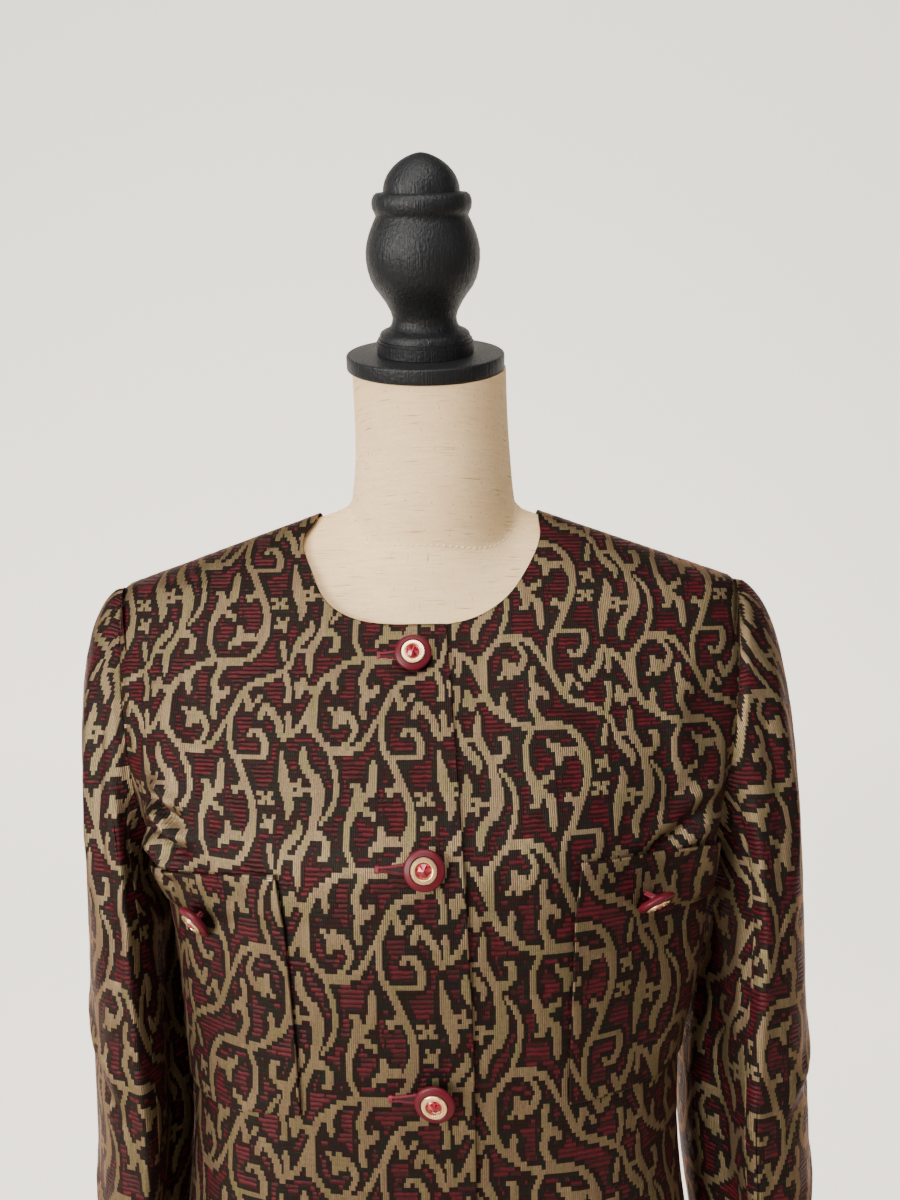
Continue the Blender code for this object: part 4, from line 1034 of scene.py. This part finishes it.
# The sleeves: set in with a little fullness over a flat pad, each cut in two, a wide top piece and
# a narrow one under the arm, and they hang free to an open cuff that is turned in.
SEAM_GAP = 0.0003
SLEEVE = {
    # height, inner x, outer x, centre y, half depth, swing
    "left": np.array([
        (0.735, 0.1870, 0.2470, -0.023, 0.052, 0.000), (0.790, 0.1830, 0.2465, -0.015, 0.056, 0.000),
        (0.850, 0.1760, 0.2460, -0.006, 0.060, 0.000), (0.910, 0.1690, 0.2460, 0.002, 0.065, 0.000),
        (0.970, 0.1670, 0.2465, 0.007, 0.069, 0.000), (1.030, 0.1715, 0.2465, 0.009, 0.070, 0.000),
        (1.090, 0.1790, 0.2455, 0.008, 0.066, 0.000),
    ]),
    "right": np.array([
        (0.735, 0.1850, 0.2410, -0.023, 0.054, 0.006), (0.790, 0.1800, 0.2370, -0.015, 0.058, 0.010),
        (0.850, 0.1725, 0.2330, -0.006, 0.062, 0.014), (0.910, 0.1665, 0.2300, 0.001, 0.067, 0.016),
        (0.970, 0.1640, 0.2310, 0.005, 0.071, 0.016), (1.030, 0.1670, 0.2335, 0.007, 0.071, 0.014),
        (1.090, 0.1735, 0.2345, 0.006, 0.066, 0.012),
    ]),
}
SLEEVE_TOP_Z, CUFF_Z = 1.090, 0.735
SLEEVE_CREASES = {
    # way round from the outer side, height, where each ends, half width, height: the fold down the front comes first
    "left": [
        (0.118, 1.120, 0.119, 0.700, 0.010, 0.0065), (0.158, 1.080, 0.160, 0.700, 0.026, -0.0085),
        (0.060, 1.265, 0.066, 1.130, 0.010, 0.0030), (0.085, 1.240, 0.090, 1.110, 0.009, -0.0025),
        (0.020, 1.020, 0.085, 0.985, 0.008, 0.0022), (0.030, 0.998, 0.088, 0.966, 0.007, -0.0020),
        (0.010, 0.940, 0.070, 0.910, 0.008, 0.0018), (0.112, 1.110, 0.070, 1.050, 0.008, -0.0020),
        (-0.090, 1.200, -0.085, 1.000, 0.014, 0.0035), (-0.060, 1.000, -0.112, 0.955, 0.009, 0.0025),
        (-0.050, 0.960, -0.105, 0.925, 0.008, -0.0020),
    ],
    "right": [
        (0.116, 1.120, 0.117, 0.700, 0.010, 0.0065), (0.158, 1.080, 0.160, 0.700, 0.026, -0.0110),
        (0.055, 1.270, 0.060, 1.120, 0.010, 0.0032), (0.078, 1.235, 0.086, 1.100, 0.009, -0.0025),
        (0.015, 1.040, 0.080, 1.005, 0.008, 0.0022), (0.025, 1.018, 0.086, 0.984, 0.007, -0.0022),
        (0.020, 0.930, 0.075, 0.905, 0.008, 0.0018), (0.110, 1.105, 0.072, 1.060, 0.008, -0.0020),
        (-0.085, 1.200, -0.090, 1.010, 0.014, 0.0035), (-0.055, 1.010, -0.110, 0.965, 0.009, 0.0025),
        (-0.048, 0.968, -0.104, 0.932, 0.008, -0.0020),
    ],
}
HEAD_FLARE, HEAD_FALL = 0.62, 0.95
UNDERARM_FLARE, UNDERARM_FALL = 0.035, 1.6
HEAD_OUT, HEAD_DOWN = 0.95, 0.30
SLEEVE_SEAM = 2 * math.pi * 5 / 16
SLEEVE_ROUND = 0.065
SLEEVE_SHIFT = {"right": (12, 20), "left": (30, 5)}
SLEEVE_PARTS = (
    # part, its seams from its middle, its middle from the outer side, points along its head, flat size, flat area
    ("top", SLEEVE_SEAM, 0.0, 400, (0.23, 0.60), 0.104),
    ("under", math.pi - SLEEVE_SEAM, math.pi, 300, (0.16, 0.45), 0.054),
)
LEAST_REACH = 0.02


def hanging_place(side, angle, z):
    """Points of a sleeve's free part, under the arm."""
    inner, outer, centre_y, half_depth, swing = (through(SLEEVE[side], column, z) for column in range(1, 6))
    x = (inner + outer) / 2 + (outer - inner) / 2 * np.cos(angle) - swing * np.sin(angle)
    return np.stack([x, centre_y - half_depth * np.sin(angle), z * np.ones_like(angle)], -1)


def sleeve_place(side, angle, z):
    """Points of a sleeve; the angle runs from its outer side round the front."""
    angle, z = np.broadcast_arrays(np.asarray(angle, float), np.asarray(z, float))
    low = hanging_place(side, angle, np.minimum(z, SLEEVE_TOP_Z))
    start = armhole_line(angle) + (SEAM_GAP, 0.0, 0.0)
    end = hanging_place(side, angle, np.full_like(angle, SLEEVE_TOP_Z))
    length = np.linalg.norm(end - start, axis=-1)
    high = (1 + np.cos(angle)) / 2
    flare = HEAD_FLARE * high * length + UNDERARM_FLARE * (1 - high)
    fall = HEAD_FALL * high * length + UNDERARM_FALL * (1 - high) * (ARMPIT_Z - SLEEVE_TOP_Z)

    def height(t):
        return (start[..., 2] * (1 - t) ** 2 * (1 + 2 * t) + SLEEVE_TOP_Z * t * t * (3 - 2 * t)
                - HEAD_DOWN * high * flare * t * (1 - t) ** 2 + fall * t * t * (1 - t))

    near, far = np.zeros_like(high), np.ones_like(high)
    for _ in range(36):
        t = (near + far) / 2
        above = height(t) > z
        near, far = np.where(above, t, near), np.where(above, far, t)
    t = ((near + far) / 2)[..., None]
    out = flare[..., None] * np.stack([np.full_like(high, HEAD_OUT), np.zeros_like(high), -HEAD_DOWN * high], -1)
    down = fall[..., None] * np.array((0.0, 0.0, -1.0))
    head = (start * (1 - t) ** 2 * (1 + 2 * t) + end * t * t * (3 - 2 * t)
            + out * t * (1 - t) ** 2 - down * t * t * (1 - t))
    around = SLEEVE_ROUND * (np.mod(angle + math.pi, 2 * math.pi) - math.pi)
    lift = creased(SLEEVE_CREASES[side], around, z) * ease(start[..., 2] - z, 0.003, 0.040)
    outward = np.stack([np.cos(angle), -np.sin(angle), np.zeros_like(angle)], -1)
    made = np.where((z > SLEEVE_TOP_Z)[..., None], head, low)
    return made + lift[..., None] * outward + drawn_in(angle, np.linalg.norm(made - start, axis=-1))


def sleeve_outline(seam, middle, count):
    """Up one seam of a sleeve's piece, along its head and down the other seam."""
    up = np.linspace(CUFF_Z, armhole_height(SLEEVE_SEAM), 200)
    head = np.linspace(seam, -seam, count)
    return np.concatenate([
        np.stack([np.full_like(up, seam), up], 1), np.stack([head, armhole_height(head + middle)], 1),
        np.stack([np.full_like(up, -seam), up[::-1]], 1),
    ])


for side, sign in (("right", -1), ("left", 1)):
    rows, heights = level_heights(lambda z: sleeve_place(side, np.zeros_like(z), z), CUFF_Z, SHOULDER_TIP_Z, 900)
    for part, seam, middle, count, size, area in SLEEVE_PARTS:
        def surface(angle, z):
            return sleeve_place(side, angle + middle, z)

        def ends(z):
            reach = min(seam, float(armhole_angle(z))) if part == "top" and z > ARMPIT_Z else seam
            return -max(reach, LEAST_REACH), max(reach, LEAST_REACH)

        outline = sleeve_outline(seam, middle, count) * (SLEEVE_ROUND, 1)
        cut = cut_cloth(surface, ends, rows, heights, outline, SLEEVE_ROUND, SLEEVE_SHIFT[side])
        piece = sew(f"jacket_sleeve_{part}_{side}", cut, cut["points"] * (sign, 1, 1), sign > 0)
        fix(piece, tapestry, "tapestry", f"sleeve_{part}_{side}")

# The armhole seams: a roll of the seam allowance lies in the groove between body and sleeve, coloured dark as painted
# shade of the groove.
SEAM_ROLL, SEAM_DEPTH = 0.0011, 0.0013
rolls = []
for sign in (-1, 1):
    turn = np.linspace(0, 2 * math.pi, 160)
    line = armhole_line(turn) + drawn_in(turn, np.zeros_like(turn)) + SEAM_DEPTH * into_armhole(turn)
    rolls.append(thread_tube(line * (sign, 1, 1), SEAM_ROLL, 8))
# the roll's two dark tones are painted shade of the armhole groove
groove_painted_shade = thread_or_shade_finish("armhole_groove_painted_shade", 1500.0, dye(34, 16, 18), dye(84, 52, 44), 0.85)
armhole_seams = stitched("armhole_seams", rolls)
fix(armhole_seams, groove_painted_shade, "tapestry")

# The pockets: a patch of the same tapestry on each front, sewn down along its sides and bottom with its edges
# turned in, and open at the top. The drawing isn't matched to the front's.
POCKET_SHARE = (0.527, 0.983)
POCKET_LOW, POCKET_HIGH = 1.010, 1.1464
POCKET_DROP = {"right": (0.000, 0.008), "left": (-0.004, -0.004)}
POCKET_SHIFT = {"right": (21, 9), "left": (50, 30)}
POCKET_TURNING, POCKET_GAPE, GAPE_REACH = 0.003, 0.0022, 0.016
POCKET_MARGIN, POCKET_ROWS_X, POCKET_REACH_X = 0.01, 0.1, 0.03
pockets = {}
for side, sign in (("right", -1), ("left", 1)):
    def pocket_corner(share, z):
        """Places on the pocket's outline, from shares of the front's width."""
        inner, outer = POCKET_DROP[side]
        z = z - (inner + (outer - inner) * ease(share, 0.5, 0.95))
        edge_x = sign * centre_front_x(z) - LAP
        return np.stack([edge_x + (side_x(z) - edge_x) * share, z], -1)

    up = np.linspace(POCKET_LOW, POCKET_HIGH, 80)
    out = np.linspace(*POCKET_SHARE, 60)
    outline = np.concatenate([
        pocket_corner(out, POCKET_LOW), pocket_corner(POCKET_SHARE[1], up),
        pocket_corner(out[::-1], POCKET_HIGH), pocket_corner(POCKET_SHARE[0], up[::-1]),
    ])
    rows, heights = level_heights(
        lambda z: front_place(np.full_like(z, POCKET_ROWS_X), z),
        POCKET_LOW - POCKET_MARGIN, POCKET_HIGH + POCKET_MARGIN, 300)
    cut = cut_cloth(
        front_place, lambda z: (POCKET_REACH_X, side_x(z)), rows, heights, outline, 1.0, POCKET_SHIFT[side])
    points = cut["points"]
    lift = front_lift(side, points[:, 0], points[:, 2]) + SEAM_GAP + CLOTH
    top = pocket_corner(out, POCKET_HIGH)
    below = np.interp(points[:, 0], top[:, 0], top[:, 1]) - points[:, 2]
    middle = np.clip((points[:, 0] - top[0, 0]) / (top[-1, 0] - top[0, 0]), 0.0, 1.0)
    lift += POCKET_GAPE * (1 - ease(below, 0.0, GAPE_REACH)) * np.sin(math.pi * middle) ** 0.6
    points += lift[:, None] * normals_of(points, cut["quads"])
    piece = sew(f"jacket_pocket_{side}", cut, points * (sign, 1, 1), sign < 0, POCKET_TURNING)
    fix(piece, tapestry, "tapestry", f"pocket_{side}")
    pockets[side] = piece

# The bar at the wearer's right pocket: three pale threads laid side by side over its inner top corner,
# where the opening's strain comes.
BAR_X, BAR_Z, BAR_SPACING, BAR_THREAD = (0.0868, 0.0938), 1.1455, 0.0011, 0.0003
BAR_THREADS, BAR_ARCH = 3, 0.0003


def on_front(side, x, z, out):
    """Points a little out from a front's outside."""
    place = front_place(x, z)
    normal = unit(np.cross(front_place(x + 1e-4, z) - place, front_place(x, z + 1e-4) - place))
    made = place + normal * (front_lift(side, x, z) + GOLD_RELIEF + out)[..., None]
    return made * ((1 if side == "left" else -1), 1, 1)


bar = []
for k in range(BAR_THREADS):
    x = np.linspace(*BAR_X, 9)
    rise = SEAM_GAP + CLOTH + BAR_ARCH * np.sin(np.linspace(0, math.pi, 9))
    bar.append(thread_tube(on_front("right", x, np.full_like(x, BAR_Z - k * BAR_SPACING), rise), BAR_THREAD))
pocket_bar = stitched("pocket_bar", bar)
fix(pocket_bar, cream_thread, "linen")

# The buttonholes: four slits across the wearer's right front, each worked round with close purl stitches
# in red thread and barred at the far end. The button's shank draws the near end open. A dark strip in each slit is
# painted shade of its opening.
BUTTONS = {
    # height, turn sideways, turn up, how far the buttonhole reaches
    "button_1": (1.2648, 0, -8, 0.0208), "button_2": (1.1508, -3, -6, 0.0256),
    "button_3": (1.0225, -9, -8, 0.0244), "button_4": (0.8940, 0, 0, 0.0244),
}
HOLE_NEAR, HOLE_OPEN, HOLE_CLOSED, SLIT_RISE = 0.004, 0.0012, 0.0001, 0.0001
PURL, PURL_SPACING, PURL_THREAD, PURL_LEAN = 0.0018, 0.00075, 0.00042, 0.0005
PURL_RISE = np.array((-0.0004, 0.0004, 0.0006, 0.0004, -0.0003))
HOLE_BARS, HOLE_BAR, HOLE_BAR_SPACING, HOLE_BAR_RISE, HOLE_BAR_FALL = 4, 0.0024, 0.0005, 0.0006, 0.0009
purls, slits = [], []
for height, _, _, reach in BUTTONS.values():
    centre = float(centre_front_x(height))
    count = round((HOLE_NEAR + reach) / PURL_SPACING)
    along = np.linspace(HOLE_NEAR, -reach, count)
    opened = HOLE_OPEN * (1 - ease((HOLE_NEAR - along) / (HOLE_NEAR + reach), 0.45, 0.95)) + HOLE_CLOSED
    for way in (-1, 1):
        for x, gap in zip(along, opened):
            t = np.linspace(0, 1, len(PURL_RISE))
            lean = centre + x - PURL_LEAN * t
            line = on_front("right", -lean, height + way * (gap + PURL * t), PURL_RISE)
            purls.append(thread_tube(line, PURL_THREAD))
    for k in range(HOLE_BARS):
        t = np.linspace(-1, 1, 7)
        x = np.full_like(t, centre - reach - k * HOLE_BAR_SPACING)
        line = on_front("right", -x, height + HOLE_BAR * t, HOLE_BAR_RISE - HOLE_BAR_FALL * t ** 4)
        purls.append(thread_tube(line, PURL_THREAD))
    rise = np.full_like(along, SLIT_RISE)
    low, high = (on_front("right", -(centre + along), height + way * opened, rise) for way in (-1, 1))
    slits.append((np.concatenate([low, high]), [[k + 1, k, k + count, k + count + 1] for k in range(count - 1)]))

red_thread = thread_or_shade_finish("buttonhole_thread", 2600.0, dye(84, 10, 25), dye(124, 26, 44), 0.55, (0.35, 0.65))
# the slit is a near-black strip over the cloth: painted shade inside the opening
slit_painted_shade = thread_or_shade_finish("buttonhole_slit", 1800.0, dye(12, 8, 9), dye(38, 26, 24), 0.95)
buttonholes = stitched("buttonhole_stitches", purls)
fix(buttonholes, red_thread, "tapestry")
hole_slits = stitched("buttonhole_slits", slits)
fix(hole_slits, slit_painted_shade, "tapestry")

# The buttons: each a polished burgundy resin disc with a bevelled rim and a shank, a gilt ring with a groove
# pressed into its face, and a red glass cone cut in facets in the ring. Each face of the cone is lighter or darker red
# at random: painted reflection of the foil. Thread through the shank holds it on.
BUTTON_RADIUS, SHANK_RADIUS = 0.0115, 0.0028
BUTTON_FACE, RING_SEAT = 0.0054, 0.0057
RING_OUT, RING_IN = 0.64 * BUTTON_RADIUS, 0.405 * BUTTON_RADIUS
STONE_FACETS, STONE_EDGE = 16, RING_IN - 0.0003
SHANK_THREADS, SHANK_SPREAD, SHANK_DEEP, SHANK_THREAD = 6, 0.0013, 0.0008, 0.00045
FACING_STEP = 0.01
FACET_GRID, FACET_POWER = 1e5, 1.3
POCKET_BUTTONS = {"button_pocket_right": (-0.60, -0.55, -0.58), "button_pocket_left": (0.38, -0.45, -0.81)}

resin, tree, shader = new_finish("burgundy_resin")
place = place_in(tree)
give(tree, shader, Base_Color=mix_of(tree, noise_of(tree, place, 160.0, 3.0), dye(76, 11, 23), dye(88, 17, 30)),
     Roughness=spread_of(tree, noise_of(tree, place, 900.0), 0.3, 0.7, 0.34, 0.44), Specular_IOR_Level=0.22)

gilt, tree, shader = new_finish("gilt")
worn = noise_of(tree, place_in(tree), 260.0)
give(tree, shader, Base_Color=mix_of(tree, worn, dye(242, 200, 142), dye(252, 220, 172)),
     Roughness=spread_of(tree, worn, 0.3, 0.7, 0.30, 0.24), Metallic=0.8)

red_glass, tree, shader = new_finish("red_foiled_glass")
# the stone's red runs from dark to bright by a random value on each face of the cone: painted reflection of the foil
facet_painted_glint = add_node(tree, "Attribute", {"attribute_name": "facet_painted_glint"}).outputs["Fac"]
give(tree, shader, Base_Color=mix_of(tree, facet_painted_glint, dye(92, 5, 17), dye(190, 44, 62)),
     Roughness=spread_of(tree, facet_painted_glint, 0.0, 1.0, 0.10, 0.22), Metallic=0.25, Coat_Weight=0.5)

disc_profile = [
    (0.0026, 0.0003), (SHANK_RADIUS, 0.0005), (SHANK_RADIUS, 0.0016), (0.0034, 0.0018), (0.0080, 0.0018),
    (0.0101, 0.0024), (0.0109, 0.0031), (0.01135, 0.0037), (BUTTON_RADIUS, 0.0044), (0.01138, 0.0049),
    (0.0111, 0.0053), (0.0107, 0.0056),
    (0.0102, 0.00585), (0.0090, 0.0062), (0.0082, 0.0064), (RING_OUT + 0.0007, 0.00645), (RING_OUT + 0.0005, 0.0063),
    (RING_OUT + 0.0003, BUTTON_FACE), (0.0, BUTTON_FACE),
]
ring_profile = [
    (RING_OUT - 0.0003, 0.0), (RING_OUT, 0.0005), (RING_OUT - 0.0001, 0.0011), (RING_OUT - 0.0005, 0.0015),
    (RING_OUT - 0.0016, 0.0016), (RING_OUT - 0.0018, 0.0012), (RING_OUT - 0.0020, 0.0012), (RING_OUT - 0.0022, 0.0017),
    (RING_IN + 0.0002, 0.0016), (RING_IN, 0.0013), (RING_IN - 0.0001, 0.0001), (0.0, 0.0001),
]
stone_profile = [(STONE_EDGE, 0.0002), (STONE_EDGE, 0.0006), (0.0032, 0.0013), (0.0012, 0.0023), (0.0, 0.0027)]
models = [
    turned_piece("button_disc", disc_profile, 72, 28),
    turned_piece("button_ring", [(radius, RING_SEAT + height) for radius, height in ring_profile], 72, 30),
    turned_piece("button_stone", [(radius, RING_SEAT + height) for radius, height in stone_profile], STONE_FACETS, 4),
]
# a random value for each face of the stone, which sets its painted reflection
lit = models[2].data.attributes.new("facet_painted_glint", "FLOAT", "FACE")
for k, side_face in enumerate(models[2].data.polygons):
    spot = (round(value * FACET_GRID) for value in side_face.center)
    lit.data[k].value = float(scatter(*spot)) ** FACET_POWER


def front_facing(height, turn, up):
    """The way a front button faces: out from the cloth, then as it hangs."""
    step = np.array((-FACING_STEP, FACING_STEP))
    near = front_place(np.full(2, float(centre_front_x(height))), height + step)
    facing = Vector((0.0, -1.0, (near[1, 1] - near[0, 1]) / (2 * FACING_STEP))).normalized()
    return Matrix.Rotation(math.radians(turn), 3, "Z") @ Matrix.Rotation(math.radians(-up), 3, "X") @ facing


facings = {name: front_facing(*hang[:3]) for name, hang in BUTTONS.items()}
facings.update({name: Vector(facing) for name, facing in POCKET_BUTTONS.items()})
places = {}
for name, facing in facings.items():
    turned = facing.to_track_quat("Z", "Y").to_matrix().to_4x4()
    corners = np.array([turned @ corner.co for corner in models[0].data.vertices])
    middle = (corners.min(axis=0) + corners.max(axis=0)) / 2
    solid = np.array(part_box(name)).mean(axis=0)
    places[name] = Matrix.Translation(Vector((solid - middle).tolist())) @ turned
    nodes = (name, f"{name}_ring", f"{name}_stone")
    for model, finish, slot, node in zip(models, (resin, gilt, red_glass), ("burgundy", "gilt", "red_glass"), nodes):
        piece = model.copy()
        piece.data = model.data.copy()
        piece.name = piece.data.name = f"{model.name}_{name.removeprefix('button_')}"
        bpy.context.scene.collection.objects.link(piece)
        set_in_place(piece, places[name])
        fix(piece, finish, slot, node)
for model in models:
    bpy.data.objects.remove(model, do_unlink=True)

shanks = []
for name in POCKET_BUTTONS:
    for k in range(SHANK_THREADS):
        turn = 2 * math.pi * k / SHANK_THREADS
        spot = Vector((SHANK_SPREAD * math.cos(turn), SHANK_SPREAD * math.sin(turn), SHANK_DEEP))
        start = places[name] @ spot
        _, end, normal, _ = pockets[name.removeprefix("button_pocket_")].closest_point_on_mesh(start)
        run = np.linspace(0, 1, 6)[:, None]
        line = np.array(start) * (1 - run) + np.array(end - SHANK_DEEP * normal) * run
        shanks.append(thread_tube(line, SHANK_THREAD))
shank_threads = stitched("pocket_button_threads", shanks)
fix(shank_threads, red_thread, "tapestry")

# The room: a pale floor that sweeps up into a plain wall, a broad window at the left, a weak one
# at the right and soft light from above. The camera stands close, a little under the shoulders' height.
FLOOR_SIZE, FLOOR_Y, WALL_HEIGHT = 8.0, -1.0, 5.0
SWEEP_RADIUS, SWEEP_STEPS = 0.8, 16
NEAR_WALL_Y = FLOOR_Y + FLOOR_SIZE / 2 - 0.1


def pick_edges(piece, chosen):
    """Only the edges whose ends are both chosen selected, in edit mode."""
    bpy.ops.object.mode_set(mode="OBJECT")
    for edge in piece.data.edges:
        edge.select = all(chosen(piece.data.vertices[k].co) for k in edge.vertices)
    bpy.ops.object.mode_set(mode="EDIT")


bpy.ops.object.select_all(action="DESELECT")
bpy.ops.mesh.primitive_plane_add(size=FLOOR_SIZE, location=(0, FLOOR_Y, 0))
sweep = bpy.context.object
sweep.name = sweep.data.name = "floor_and_wall"
bpy.ops.object.transform_apply(location=True, rotation=True, scale=True)
bpy.ops.object.mode_set(mode="EDIT")
bpy.ops.mesh.select_mode(type="EDGE")
bpy.ops.mesh.select_all(action="DESELECT")
pick_edges(sweep, lambda corner: corner.y > NEAR_WALL_Y)
bpy.ops.mesh.extrude_region_move(TRANSFORM_OT_translate={"value": (0, 0, WALL_HEIGHT)})
pick_edges(sweep, lambda corner: corner.y > NEAR_WALL_Y and corner.z < 0.01)
bpy.ops.mesh.bevel(offset=SWEEP_RADIUS, segments=SWEEP_STEPS)
bpy.ops.object.mode_set(mode="OBJECT")
bpy.ops.object.shade_smooth()
plaster, tree, shader = new_finish("pale_plaster")
behind = add_node(tree, "SeparateXYZ", Vector=place_in(tree)).outputs[1]
colour = mix_of(tree, spread_of(tree, behind, 0.2, 1.0, 0.0, 1.0), dye(190, 182, 171), dye(236, 231, 224))
give(tree, shader, Base_Color=colour, Roughness=0.9, Emission_Color=dye(238, 231, 219),
     Emission_Strength=spread_of(tree, behind, 0.5, 1.3, 0.0, 1.6))
sweep.data.materials.append(plaster)

world = bpy.context.scene.world or bpy.data.worlds.new("studio")
bpy.context.scene.world = world
world.use_nodes = True
give(world.node_tree, world.node_tree.nodes["Background"], Color=(1.0, 0.98, 0.95, 1.0), Strength=0.10)
for name, spot, aim, size, power in (
    ("window_at_the_left", (-2.1, -2.1, 1.5), (0, 0, 1.15), 1.7, 180.0),
    ("window_at_the_right", (2.3, -1.7, 1.5), (0, 0, 1.15), 1.7, 15.0),
    ("light_overhead", (-0.3, -1.6, 3.2), (0, 0, 1.2), 1.8, 84.0),
):
    light = bpy.data.lights.new(name, "AREA")
    light.size = size
    light.energy = power
    light.color = (1.0, 0.97, 0.93)
    lamp = bpy.data.objects.new(name, light)
    lamp.location = spot
    lamp.rotation_euler = (Vector(aim) - Vector(spot)).to_track_quat("-Z", "Y").to_euler()
    bpy.context.scene.collection.objects.link(lamp)

lens = bpy.data.cameras.new("camera")
lens.lens = 27.03
lens.sensor_width = 36.0
camera = bpy.data.objects.new("camera", lens)
camera.location = (0.0136, -0.613, 1.2985)
camera.rotation_euler = (math.radians(90), 0.0, 0.0)
camera.rotation_euler.rotate_axis("Z", math.radians(-0.83))
bpy.context.scene.collection.objects.link(camera)
bpy.context.scene.camera = camera

bpy.context.view_layer.update()
